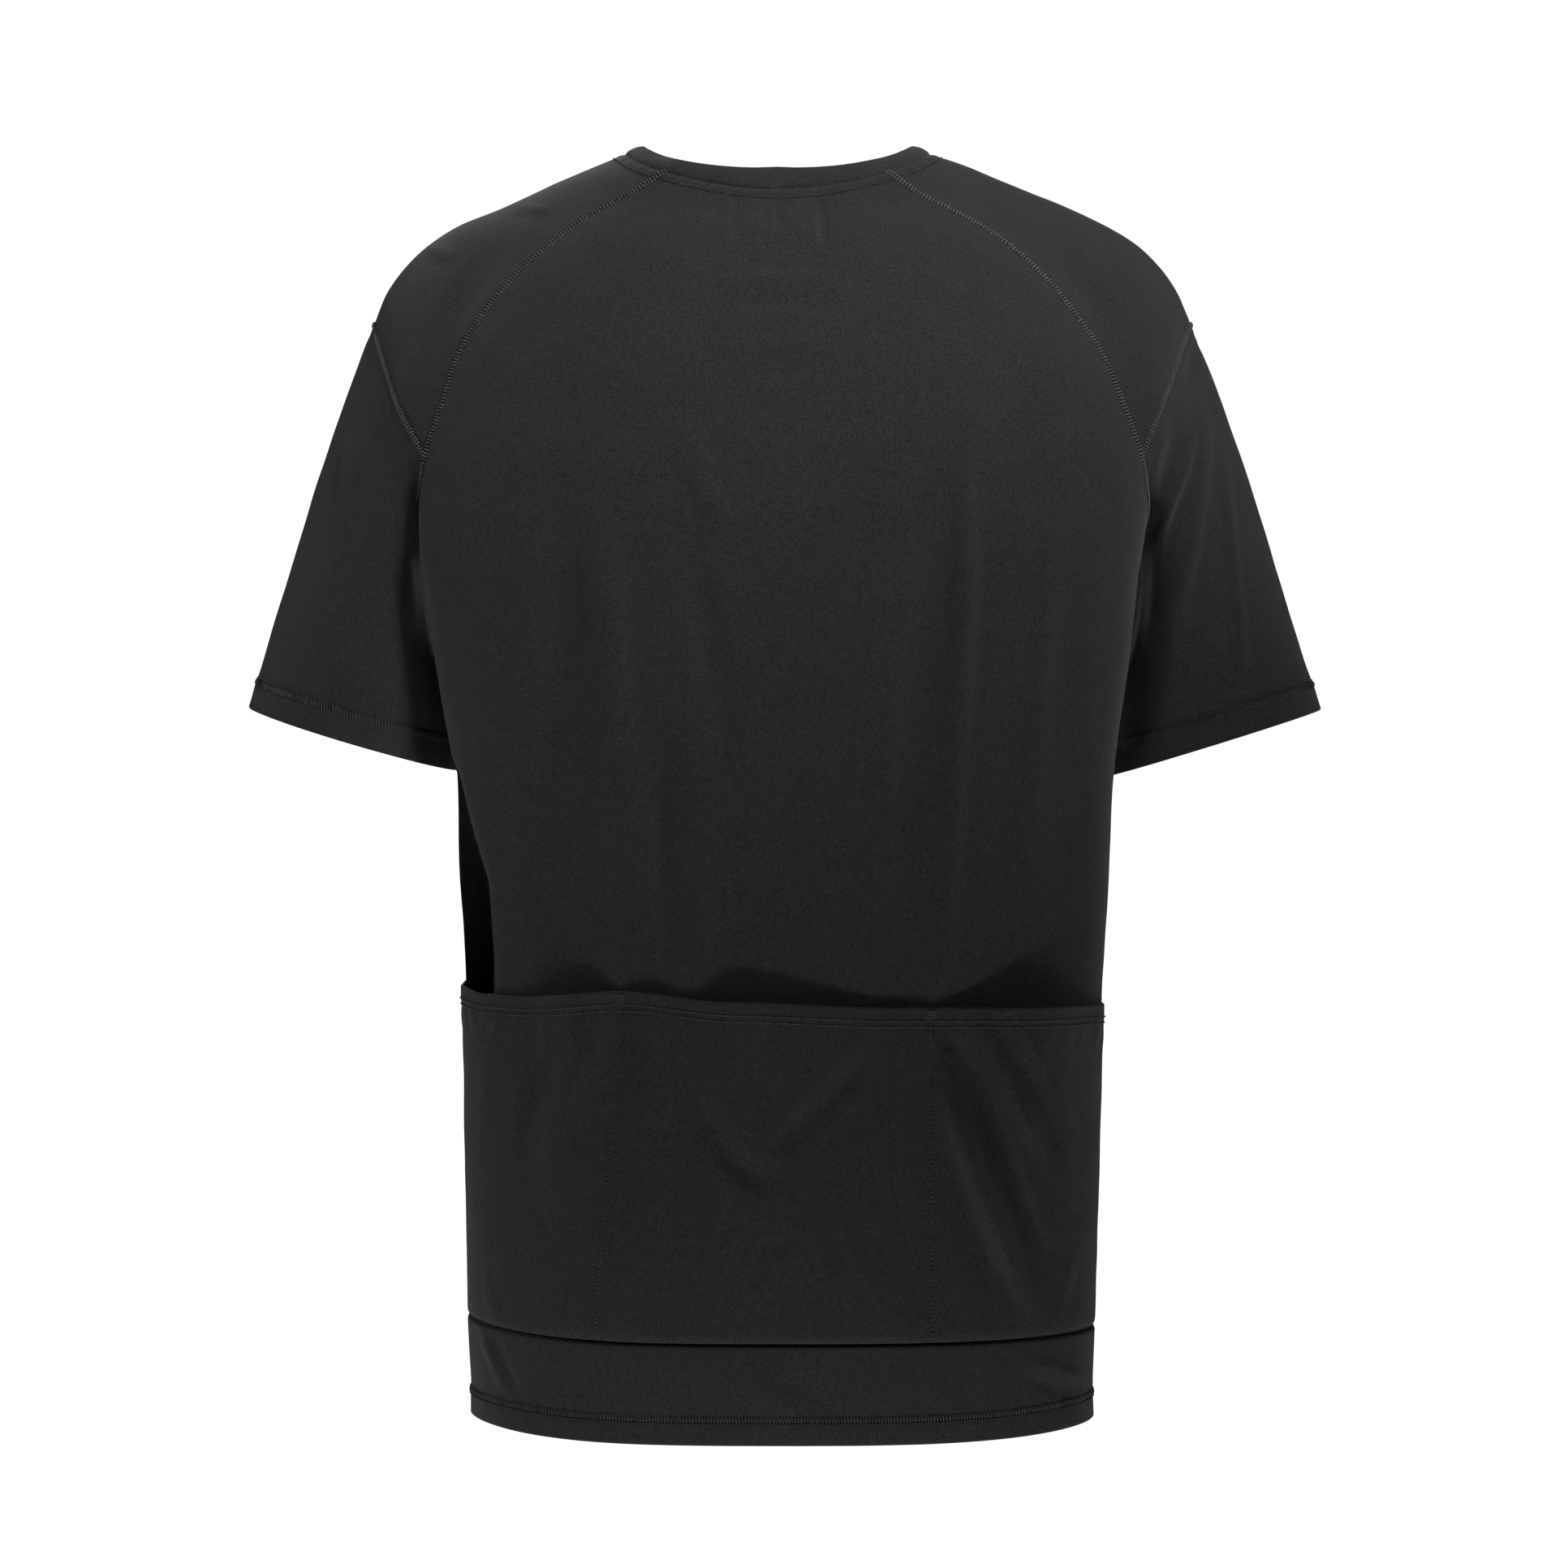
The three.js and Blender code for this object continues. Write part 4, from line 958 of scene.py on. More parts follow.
def pocket_cloth(back, sizes):
    """The pocket panel, made from the points of the back, moved out."""
    cloth_mm = sizes.cloth / MM
    off_back = sizes.pocket_seat / MM + cloth_mm
    bottom = back.points[-1]
    # How far across each column lies, as a share of the whole arc.
    run = lengths(back.base[-1])
    share = run / run[-1]
    tops = mouth_height(bottom[:, 0])
    columns = back.points[::-1].swapaxes(0, 1)
    column_normals = back.normals[::-1].swapaxes(0, 1)
    rows = []
    for down in POCKET_PARTS:
        wanted = tops + (bottom[:, 2] - tops) * down
        row = np.array([between(height, column[:, 2], column)
                        for height, column in zip(wanted, columns)])
        outwards = unit(np.array([
            between(height, column[:, 2], normals)
            for height, column, normals in zip(wanted, columns, column_normals)]))
        x = row[:, 0]
        splits = [FLAT_SIDE]
        splits += [float(np.interp(-divider(side, down), -x, share)) for side in SIDES]
        splits = np.array([*splits, 1 - FLAT_SIDE])
        k = np.clip(np.searchsorted(splits, share, side="right") - 1, 0, 2)
        part = np.clip((share - splits[k]) / (splits[k + 1] - splits[k]), 0, 1)
        lift = gape(x) * (1 - down) ** GAPE_FALL
        crease = crease_rise("pocket", x, row[:, 2]) * sizes.crease_strength
        free = np.minimum(1, np.sin(math.pi * part) * 3)
        above_foot = smooth((1 - down) * 14)
        off = np.maximum(0, lift + crease * free * above_foot) * np.maximum(0, outwards[:, 1])
        row += outwards * off_back
        row[:, 1] += off
        rows.append(row)
    pocket = Cloth(rows, -1)
    away = pocket.edge_distances()
    top_hem = smooth((MOUTH_HEM - away["top"]) / 1.4)
    pocket.thick = cloth_mm * (1 + 0.7 * top_hem)
    moved = (0.25 * top_hem + groove(away["top"] - MOUTH_ROWS[0], width=0.9, depth=0.25)
             + groove(away["top"] - MOUTH_ROWS[1], width=0.9, depth=0.3))
    moved += groove(away["bottom"], width=1.3, depth=sizes.seam_groove / MM)
    moved += puckers(pocket.run_across(), away["top"] - 9, pitch=12, reach=5, height=0.2)
    moved += puckers(pocket.run_across(), away["top"] - 17, pitch=17, reach=6, height=0.4)
    for side in SIDES:
        from_row = np.abs(pocket.base[..., 0] - divider(side, POCKET_PARTS[:, None]))
        moved += groove(from_row, width=1.5, depth=0.45)
        moved += puckers(pocket.run_down(), from_row - 3, pitch=14, reach=4, height=0.18)
    pocket.move(moved)
    return pocket


def make_mesh(name, verts, faces, uvs, material):
    """A mesh object in metres from arrays in millimetres, smooth shaded."""
    mesh = bpy.data.meshes.new(name)
    mesh.from_pydata((np.asarray(verts) * MM).tolist(), [], np.asarray(faces).tolist())
    if uvs is not None:
        layer = mesh.uv_layers.new(name="cloth")
        index = np.zeros(len(mesh.loops), dtype=np.int32)
        mesh.loops.foreach_get("vertex_index", index)
        layer.data.foreach_set("uv", (np.asarray(uvs)[index] * MM).ravel())
    mesh.polygons.foreach_set("use_smooth", [True] * len(mesh.polygons))
    mesh.materials.append(material)
    mesh.update()
    piece = bpy.data.objects.new(name, mesh)
    bpy.context.scene.collection.objects.link(piece)
    return piece


# How far a rounded edge stands out, as a share of the cloth's thickness.
EDGE_ROUNDING = 0.42


def cloth_mesh(name, cloth, material):
    """A thin closed shell behind the outer points of a piece, with rounded edges."""
    outer = cloth.points
    rows, columns = outer.shape[:2]
    inner = outer - cloth.normals * cloth.thick[..., None]
    run_u = cloth.run_across()
    run_u = run_u - run_u[:, columns // 2][:, None]
    run_v = np.broadcast_to(cloth.run_down()[:, columns // 2][:, None], run_u.shape)
    uv = np.stack([run_u, run_v], 2).reshape(-1, 2)
    verts = [outer.reshape(-1, 3), inner.reshape(-1, 3)]
    uvs = [uv, uv]
    grid = np.arange(rows * columns).reshape(rows, columns)
    if cloth.ring:
        grid = np.concatenate([grid, grid[:, :1]], 1)
    a, b, c, d = grid[:-1, :-1], grid[:-1, 1:], grid[1:, 1:], grid[1:, :-1]
    outside = np.stack([a, b, c, d], 2).reshape(-1, 4)
    if cloth.outward < 0:
        outside = outside[:, ::-1]
    faces = [outside, outside[:, ::-1] + rows * columns]
    total = 2 * rows * columns
    if cloth.ring:
        loops = [grid[0, :-1], grid[-1, :-1][::-1]]
    else:
        loops = [np.concatenate([grid[0, :-1], grid[:-1, -1], grid[-1, :0:-1], grid[:0:-1, 0]])]
    for loop in loops:
        p, q = verts[0][loop], verts[1][loop]
        tangent = np.roll(p, -1, 0) - np.roll(p, 1, 0)
        wide = np.linalg.norm(p - q, axis=1, keepdims=True)
        edge_way = unit(np.cross(tangent, p - q)) * cloth.outward
        verts.append((p + q) / 2 + edge_way * wide * EDGE_ROUNDING)
        uvs.append(uv[loop])
        rim = total + np.arange(len(loop))
        after, rim_after = np.roll(loop, -1), np.roll(rim, -1)
        upper = np.stack([after, loop, rim, rim_after], 1)
        lower = np.stack([rim_after, rim, loop + rows * columns, after + rows * columns], 1)
        both = np.concatenate([upper, lower])
        faces.append(both if cloth.outward > 0 else both[:, ::-1])
        total += len(loop)
    verts, faces, uvs = (np.concatenate(parts) for parts in (verts, faces, uvs))
    return make_mesh(name, verts, faces, uvs, material)


class Path:
    """Evenly spaced places on a line over the cloth, with normals and side directions."""

    def __init__(self, points, normals, pitch):
        run = lengths(points)
        count = max(2, int(run[-1] / pitch))
        wanted = np.linspace(0, run[-1], count + 1)
        self.points = between(wanted, run, points)
        self.normals = unit(between(wanted, run, normals))
        self.ways = unit(np.gradient(self.points, axis=0))
        self.sides = unit(np.cross(self.ways, self.normals))

    @classmethod
    def beside_edge(cls, cloth, edge, distance, pitch):
        """A path at a distance from the top or the bottom edge, closed on a tube."""
        points, normals = cloth.line(edge, distance)
        if cloth.ring:
            points, normals = (np.concatenate([line, line[:1]]) for line in (points, normals))
        return cls(points, normals, pitch)


# How many sides and steps the mesh of one stitch has.
THREAD_SIDES = 5
THREAD_STEPS = 4


def threads(starts, ends, ups, radius, lift):
    """Many short stitches as arrays: each one rises over the cloth and dips in at its ends."""
    t = np.linspace(0, 1, THREAD_STEPS + 1)
    rise = lift * np.sin(math.pi * t) ** 0.6 - radius * 0.9 * (np.abs(2 * t - 1) ** 4)
    line = (starts[:, None] * (1 - t)[None, :, None] + ends[:, None] * t[None, :, None]
            + ups[:, None] * rise[None, :, None])
    way = unit(ends - starts)
    side = unit(np.cross(way, ups))
    up = np.cross(side, way)
    turn = np.arange(THREAD_SIDES) * 2 * math.pi / THREAD_SIDES
    ring = (np.cos(turn)[None, :, None] * side[:, None]
            + np.sin(turn)[None, :, None] * up[:, None]) * radius
    verts = line[:, :, None] + ring[:, None]
    count = len(starts)
    index = np.arange(count * (THREAD_STEPS + 1) * THREAD_SIDES)
    index = index.reshape(count, THREAD_STEPS + 1, THREAD_SIDES)
    after = np.roll(index, -1, 2)
    quads = np.stack([index[:, :-1], index[:, 1:], after[:, 1:], after[:, :-1]], 3).reshape(-1, 4)
    return verts.reshape(-1, 3), quads


def ladder(path, width, radius, lift, slant=0.0):
    """Rungs across a seam."""
    half = path.sides * width / 2
    lean = path.ways * slant
    up = path.normals * lift
    return [threads(path.points - half - lean + up, path.points + half + lean + up, path.normals,
                    radius, lift)]


def dashes(path, radius, lift, share, offset=0):
    """A row of straight stitches, each covering a share of its step."""
    line = path.points + path.sides * offset + path.normals * lift * 0.5
    ends = line[:-1] + (line[1:] - line[:-1]) * share
    return [threads(line[:-1], ends, unit(path.normals[:-1] + path.normals[1:]), radius, lift)]


def path_side(path, way):
    """Which side of the path's middle faces the given way: 1 or -1."""
    return 1 if path.sides[len(path.points) // 2] @ way > 0 else -1


def across_row(cloth, row, x):
    """The point and the normal of a row of the cloth at a place across."""
    at = -cloth.points[row, :, 0]
    return between(-x, at, cloth.points[row]), between(-x, at, cloth.normals[row])


def join_threads(name, parts, material):
    """One object from many stitches, seated in the frame."""
    verts, faces, total = [], [], 0
    for part_verts, part_faces in parts:
        verts.append(part_verts)
        faces.append(part_faces + total)
        total += len(part_verts)
    piece = make_mesh(name, np.concatenate(verts), np.concatenate(faces), None, material)
    return settle(piece, [])


# The ladder stitches at the hems: the pieces, how wide their rungs are, and how far above
# or below the middle the dark row beside them lies. That row is a needle row of dark thread,
# nearly unbroken, and also painted shade along the ladder's edge.
HEM_LADDERS = {
    "cuff_stitches": (("sleeve_left", "sleeve_right"), 3.8, 2.3),
    "hem_stitches": (("band", "front"), 3.4, -2.1),
}
# How wide the ladders are at the raglan and cap seams.
RAGLAN_LADDER = 4
CAP_LADDER = 3.4
# The short rows of stitches across the dividing rows at the pocket mouth.
BAR_TACK = {"stitches": 5, "half": 3.2, "uneven": 0.2, "pitch": 0.9, "first": 1.2, "over": 0.15,
            "row": 2.2}

SHAPE = {}


def shape(context):
    """The pieces of cloth, worked out once for the sizes of the scene."""
    if not SHAPE:
        SHAPE.update(build_shape(context.scene.jersey_sizes))
    return SHAPE


# Materials.

def node(tree, kind, **values):
    """A new node with its settings."""
    made = tree.nodes.new(kind)
    for name, value in values.items():
        setattr(made, name, value)
    return made


def maths(tree, operation, first, second=None, clamp=False):
    """The result of a sum on numbers or on the outputs of other nodes."""
    made = node(tree, "ShaderNodeMath", operation=operation, use_clamp=clamp)
    for socket, value in zip(made.inputs, (first, second)):
        if isinstance(value, (int, float)):
            socket.default_value = value
        elif value is not None:
            tree.links.new(value, socket)
    return made.outputs[0]


def texture(tree, kind, place, **values):
    """The first result of a texture at a place, with its values."""
    made = node(tree, kind)
    tree.links.new(place, made.inputs["Vector"])
    for label, value in values.items():
        made.inputs[label].default_value = value
    return made.outputs[0]


def new_group(name, inputs, outputs):
    """A group of shader nodes with named inputs and outputs."""
    group = bpy.data.node_groups.new(name, "ShaderNodeTree")
    for label, kind, default in inputs:
        socket = group.interface.new_socket(label, in_out="INPUT", socket_type=kind)
        socket.default_value = default
    for label, kind in outputs:
        group.interface.new_socket(label, in_out="OUTPUT", socket_type=kind)
    return group, node(group, "NodeGroupInput"), node(group, "NodeGroupOutput")


def knit_group():
    """Fine knit: loops in upright rows, a mottled yarn, a soft change of tone, painted shade
    between the loops, and lint.
    """
    name = "Fine knit"
    if name in bpy.data.node_groups:
        return bpy.data.node_groups[name]
    number, colour = "NodeSocketFloat", "NodeSocketColor"
    group, given, out = new_group(
        name,
        [("Yarn Colour", colour, (0.03, 0.03, 0.033, 1)), ("Loop Size", number, 0.0007),
         ("Mottling", number, 0.3), ("Roughness", number, 0.85)],
        [("Colour", colour), ("Roughness", number), ("Height", number)])

    def add(first, second, clamp=False):
        return maths(group, "ADD", first, second, clamp)

    def times(first, second):
        return maths(group, "MULTIPLY", first, second)

    def around_zero(value):
        return maths(group, "SUBTRACT", value, 0.5)

    flat = node(group, "ShaderNodeTexCoord").outputs["UV"]
    solid = node(group, "ShaderNodeTexCoord").outputs["Object"]
    split = node(group, "ShaderNodeSeparateXYZ")
    group.links.new(flat, split.inputs[0])
    across = maths(group, "DIVIDE", split.outputs[0], given.outputs["Loop Size"])
    down = maths(group, "DIVIDE", split.outputs[1], given.outputs["Loop Size"])
    lean = times(maths(group, "PINGPONG", across, 0.5), 1.3)
    loops = maths(group, "SINE", times(add(down, lean), 2 * math.pi))
    columns = maths(group, "SINE", times(across, 2 * math.pi))
    relief = add(times(loops, 0.28), times(columns, 0.22))
    noise_kind = "ShaderNodeTexNoise"
    fuzz = texture(group, noise_kind, solid, Scale=1100, Detail=3, Roughness=0.7)
    yarn = texture(group, noise_kind, solid, Scale=760, Detail=4, Roughness=0.75)
    broad = texture(group, noise_kind, solid, Scale=14, Detail=2)
    lint = texture(group, "ShaderNodeTexVoronoi", solid, Scale=25, Randomness=1)
    height = add(add(relief, 0.5), times(fuzz, 0.7))
    grain = around_zero(yarn)
    shade = around_zero(broad)
    mottled = times(grain, times(given.outputs["Mottling"], 7.0))
    # The yarn is lighter on the crests of the loops and darker between them, after the relief:
    # painted shade in the hollows of the knit. The mottling and the broad random change are the
    # yarn's own.
    factor = add(add(add(1.0, mottled), times(shade, 0.16)), times(relief, 0.12))
    bright = node(group, "ShaderNodeVectorMath", operation="SCALE")
    group.links.new(given.outputs["Yarn Colour"], bright.inputs[0])
    group.links.new(factor, bright.inputs["Scale"])
    speck = maths(group, "LESS_THAN", lint, 0.012)
    paint = node(group, "ShaderNodeMix", data_type="RGBA")
    group.links.new(times(speck, 0.35), paint.inputs["Factor"])
    group.links.new(bright.outputs[0], paint.inputs["A"])
    paint.inputs["B"].default_value = (0.16, 0.16, 0.15, 1)
    rough = add(given.outputs["Roughness"], times(grain, 0.3), clamp=True)
    results = {"Colour": paint.outputs["Result"], "Roughness": rough, "Height": height}
    for label, value in results.items():
        group.links.new(value, out.inputs[label])
    return group


def cloth_material(name, colour, loop, mottling, roughness, sheen, bump):
    """A dark knit: the group gives colour, roughness and relief, and the shader its sheen."""
    material = bpy.data.materials.new(name)
    material.use_nodes = True
    tree = material.node_tree
    shader = tree.nodes["Principled BSDF"]
    knit = node(tree, "ShaderNodeGroup", node_tree=knit_group())
    relief = node(tree, "ShaderNodeBump")
    for made, label, value in (
            (knit, "Yarn Colour", (*colour, 1)), (knit, "Loop Size", loop),
            (knit, "Mottling", mottling), (knit, "Roughness", roughness),
            (relief, "Strength", bump), (relief, "Distance", 0.00025),
            (shader, "Sheen Weight", sheen), (shader, "Sheen Roughness", 0.45),
            (shader, "Specular IOR Level", 0.25)):
        made.inputs[label].default_value = value
    tree.links.new(knit.outputs["Colour"], shader.inputs["Base Color"])
    tree.links.new(knit.outputs["Roughness"], shader.inputs["Roughness"])
    tree.links.new(knit.outputs["Height"], relief.inputs["Height"])
    tree.links.new(relief.outputs["Normal"], shader.inputs["Normal"])
    return material


# The finishes, by the setting that gives their colour: the material's name, the size of its
# loops in metres, its mottling, its roughness and the strength of its relief.
FINISHES = {
    "knit": ("Charcoal knit", 0.0008, 0.5, 0.86, 0.55),
    "neckband": ("Charcoal neckband knit", 0.0009, 0.5, 0.88, 0.6),
    "thread": ("Grey sewing thread", 0.0004, 0.4, 0.6, 0.4),
    "soft_thread": ("Muted sewing thread", 0.0004, 0.4, 0.6, 0.4),
    "dark_thread": ("Dark sewing thread", 0.0004, 0.4, 0.6, 0.4),
}
THREAD_SHEEN = 0.1


def finish_material(context, finish):
    """The material of a finish, made once."""
    label, loop, mottling, roughness, bump = FINISHES[finish]
    if label in bpy.data.materials:
        return bpy.data.materials[label]
    colours = context.scene.jersey_colours
    sheen = THREAD_SHEEN if finish.endswith("thread") else colours.sheen
    return cloth_material(label, getattr(colours, finish), loop, mottling, roughness, sheen, bump)


# Sizes and colours that a user would change.

class JerseySizes(bpy.types.PropertyGroup):
    """Sizes of the cloth and how strongly it creases."""
    cloth: bpy.props.FloatProperty(
        name="Cloth thickness", description="Thickness of one layer of knit",
        default=0.0008, min=0.0003, max=0.003, unit="LENGTH")
    pocket_seat: bpy.props.FloatProperty(
        name="Pocket seat",
        description="Distance from the back to the pocket panel where it lies on it",
        default=0.0005, min=0.0001, max=0.003, unit="LENGTH")
    seam_groove: bpy.props.FloatProperty(
        name="Seam groove", description="Depth of the groove at a seam",
        default=0.0006, min=0, max=0.003, unit="LENGTH")
    crease_strength: bpy.props.FloatProperty(
        name="Creases", description="How strongly the cloth creases, as a share of the tables",
        default=1.0, min=0, max=2, subtype="FACTOR")
    thread: bpy.props.FloatProperty(
        name="Thread radius", description="Radius of the sewing thread",
        default=0.00034, min=0.0001, max=0.001, unit="LENGTH")
    stitch: bpy.props.FloatProperty(
        name="Stitch pitch", description="Distance from one stitch to the next",
        default=0.0019, min=0.001, max=0.01, unit="LENGTH")


class JerseyColours(bpy.types.PropertyGroup):
    """Colours of the cloth and the thread."""
    knit: bpy.props.FloatVectorProperty(
        name="Knit", description="Colour of the knit", default=(0.0265, 0.0256, 0.0287),
        min=0, max=1, subtype="COLOR")
    neckband: bpy.props.FloatVectorProperty(
        name="Neckband", description="Colour of the neckband", default=(0.03, 0.03, 0.0325),
        min=0, max=1, subtype="COLOR")
    thread: bpy.props.FloatVectorProperty(
        name="Thread", description="Colour of the seam thread", default=(0.13, 0.134, 0.122),
        min=0, max=1, subtype="COLOR")
    soft_thread: bpy.props.FloatVectorProperty(
        name="Hem thread", description="Colour of the thread of the hems and pocket rows",
        default=(0.062, 0.064, 0.058), min=0, max=1, subtype="COLOR")
    # The topstitch thread also colours the dark rows beside the hem ladders, which paint shade
    # along their edges.
    dark_thread: bpy.props.FloatVectorProperty(
        name="Topstitch thread", description="Colour of the thread of the topstitching",
        default=(0.02, 0.02, 0.021), min=0, max=1, subtype="COLOR")
    sheen: bpy.props.FloatProperty(
        name="Sheen", description="Strength of the sheen of the knit", default=0.16,
        min=0, max=1, subtype="FACTOR")


class JerseyStage(bpy.types.PropertyGroup):
    """The light of the stage."""
    floor: bpy.props.FloatVectorProperty(
        name="Floor", description="Colour of the floor", default=(0.92, 0.92, 0.92),
        min=0, max=1, subtype="COLOR")
    front_light: bpy.props.FloatProperty(
        name="Front light", description="Power of the lights near the viewer's side, in watts",
        default=1.03, min=0, max=500)
    low_light: bpy.props.FloatProperty(
        name="Low light", description="Power of the light from below, in watts",
        default=2.5, min=0, max=500)
    top_light: bpy.props.FloatProperty(
        name="Top light", description="Power of the lights from above, in watts",
        default=10, min=0, max=500)
    side_light: bpy.props.FloatProperty(
        name="Side light", description="Power of the lights from both sides together, in watts",
        default=14, min=0, max=500)
    far_light: bpy.props.FloatProperty(
        name="Far light",
        description="Power of the light on the side away from the viewer, in watts",
        default=25, min=0, max=500)
    surround: bpy.props.FloatProperty(
        name="Surround", description="Brightness of the light from all round",
        default=0.01, min=0, max=5)


def settle(piece, cad_nodes):
    """Seats a piece in the frame: it rides on the root and stands for its solids."""
    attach(piece, "root")
    if cad_nodes:
        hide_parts(*cad_nodes)
    return piece


class JerseyMaker:
    """What the operators share."""
    bl_options = {"REGISTER", "UNDO"}


def sew(context, name, part, cad_node, finish="knit"):
    """Makes one piece of cloth from its shape and seats it in the frame."""
    piece = cloth_mesh(name, shape(context)[part], finish_material(context, finish))
    return settle(piece, [cad_node])


class JERSEY_OT_back(JerseyMaker, bpy.types.Operator):
    """The back panel, from the neckband and raglan seams down to the lower band"""
    bl_idname = "jersey.back"
    bl_label = "Back panel"

    def execute(self, context):
        piece = sew(context, "back_panel", "back", "back")
        return {"FINISHED"}


class JERSEY_OT_front(JerseyMaker, bpy.types.Operator):
    """The front panel, from the neckline to the hem"""
    bl_idname = "jersey.front"
    bl_label = "Front panel"

    def execute(self, context):
        piece = sew(context, "front_panel", "front", "front")
        return {"FINISHED"}


class JERSEY_OT_hem_band(JerseyMaker, bpy.types.Operator):
    """The band across the lower back, with its turned-up hem"""
    bl_idname = "jersey.hem_band"
    bl_label = "Lower back band"

    def execute(self, context):
        piece = sew(context, "hem_band_cloth", "band", "hem_band")
        return {"FINISHED"}


class JERSEY_OT_pocket_panel(JerseyMaker, bpy.types.Operator):
    """The pocket panel, sewn to the back along its sides, its foot and two rows of stitches"""
    bl_idname = "jersey.pocket_panel"
    bl_label = "Pocket panel"

    def execute(self, context):
        piece = sew(context, "pocket_cloth", "pocket", "pocket_panel")
        return {"FINISHED"}


class JERSEY_OT_yokes(JerseyMaker, bpy.types.Operator):
    """The two shoulder pieces between the raglan seams"""
    bl_idname = "jersey.yokes"
    bl_label = "Shoulder yokes"

    def execute(self, context):
        for side in SIDES:
            piece = sew(context, f"yoke_{side}_cloth", "yoke_" + side, "yoke_" + side)
        return {"FINISHED"}


class JERSEY_OT_sleeves(JerseyMaker, bpy.types.Operator):
    """The two lower sleeves, each a tube with a turned-up hem"""
    bl_idname = "jersey.sleeves"
    bl_label = "Sleeves"

    def execute(self, context):
        for side in SIDES:
            piece = sew(context, f"sleeve_{side}_cloth", "sleeve_" + side, "sleeve_" + side)
        return {"FINISHED"}


class JERSEY_OT_neckband(JerseyMaker, bpy.types.Operator):
    """The neckband, a folded strip of knit round the neckline"""
    bl_idname = "jersey.neckband"
    bl_label = "Neckband"

    def execute(self, context):
        piece = sew(context, "neckband_cloth", "neckband", "neckband", "neckband")
        return {"FINISHED"}


class JERSEY_OT_stitching(JerseyMaker, bpy.types.Operator):
    """The threads of the seams, hems, topstitching and pocket rows"""
    bl_idname = "jersey.stitching"
    bl_label = "Stitching"

    def execute(self, context):
        cloths = shape(context)
        sizes = context.scene.jersey_sizes
        radius = sizes.thread / MM
        pitch = sizes.stitch / MM
        lift = radius * 1.1
        thread, soft, dark = (finish_material(context, finish)
                              for finish in ("thread", "soft_thread", "dark_thread"))
        over_seam = sizes.seam_groove / MM + 0.3
        self.shoulder_seams(cloths, over_seam, pitch, radius, lift, thread)
        dark_rows_and_shade = []
        for label, (pieces, width, beside) in HEM_LADDERS.items():
            rungs = []
            for name in pieces:
                path = Path.beside_edge(cloths[name], "bottom", HEM_DEPTH[name], pitch * 0.9)
                rungs += ladder(path, width, radius, lift, slant=0.35)
                # A dark needle row beside each ladder, nearly unbroken: thread, and painted shade
                # along the ladder's edge.
                dark_rows_and_shade += dashes(path, radius, lift, share=0.95,
                                 offset=beside * path_side(path, UP))
            join_threads(label, rungs, soft)
        join_threads("edge_stitches_and_shade", dark_rows_and_shade, dark)
        neck = []
        for name in ("back", "front", "yoke_left", "yoke_right"):
            path = Path.beside_edge(cloths[name], "top", NECK_ROW, pitch=2.1)
            neck += dashes(path, radius * 0.9, lift, share=0.62)
        join_threads("neck_stitches", neck, dark)
        self.pocket_rows(cloths["pocket"], radius, lift, soft)
        return {"FINISHED"}

    def shoulder_seams(self, cloths, over_seam, pitch, radius, lift, thread):
        """The ladders over the raglan seams and the cap seams."""
        raglan, caps = [], []
        last = RAGLAN_ROWS + ARMHOLE_ROWS
        steps = np.arange(ARMHOLE_ROWS - 1, -1, -1)
        for side in SIDES:
            column = 0 if side == "left" else -1
            yoke, sleeve = cloths["yoke_" + side], cloths["sleeve_" + side]
            for name, edge, beside in (("back", 0, steps), ("front", -1, -steps)):
                panel = cloths[name]
                across = np.concatenate([yoke.normals[:, edge], sleeve.normals[0, beside]])
                normals = unit(panel.normals[:last + 1, column] + across)
                path = Path(panel.points[:last + 1, column] + normals * over_seam, normals, pitch)
                raglan += ladder(path, RAGLAN_LADDER, radius, lift)
            across = sleeve.normals[0, ARMHOLE_ROWS:ARMHOLE_ROWS + YOKE_COLUMNS + 1]
            normals = unit(yoke.normals[-1] + across)
            path = Path(yoke.points[-1] + normals * over_seam, normals, pitch)
            caps += ladder(path, CAP_LADDER, radius, lift)
        join_threads("raglan_stitches", raglan, thread)
        join_threads("cap_stitches", caps, thread)

    def pocket_rows(self, pocket, radius, lift, soft):
        """The twin rows at the pocket mouth, the two dividing rows and their bar tacks."""
        rows = []
        for distance in MOUTH_ROWS:
            path = Path.beside_edge(pocket, "top", distance, pitch=2.1)
            rows += dashes(path, radius, lift, share=0.7)
        for side in SIDES:
            line = [across_row(pocket, i, divider(side, POCKET_PARTS[i]))
                    for i in range(1, len(POCKET_PARTS))]
            points, normals = (np.array(part) for part in zip(*line))
            rows += dashes(Path(points, unit(normals), pitch=2.4), radius, lift, share=0.6)
        join_threads("pocket_stitches", rows, soft)
        tacks = []
        tack_row = int(np.searchsorted(stops(POCKET_RUN, POCKET_ROWS), BAR_TACK["row"]))
        for side in SIDES:
            centre, normal = across_row(pocket, tack_row, DIVIDERS[side][0])
            normal = unit(normal)
            for k in range(BAR_TACK["stitches"]):
                down = np.array([0, 0, BAR_TACK["first"] - BAR_TACK["pitch"] * k])
                middle = (centre + down + normal * BAR_TACK["over"])[None]
                half = np.array([[BAR_TACK["half"] - BAR_TACK["uneven"] * (k % 2), 0, 0]])
                tacks.append(threads(middle - half, middle + half, normal[None], radius, lift))
        join_threads("bar_tacks", tacks, soft)


def add_light(name, place, target, size, spread, power):
    """A soft lamp that faces a place."""
    light = bpy.data.lights.new(name, "AREA")
    light.shape = "RECTANGLE"
    light.size, light.size_y = size
    light.spread = math.radians(spread)
    light.energy = power
    made = bpy.data.objects.new(name, light)
    made.location = place
    made.rotation_euler = (Vector(target) - Vector(place)).to_track_quat("-Z", "Y").to_euler()
    bpy.context.scene.collection.objects.link(made)


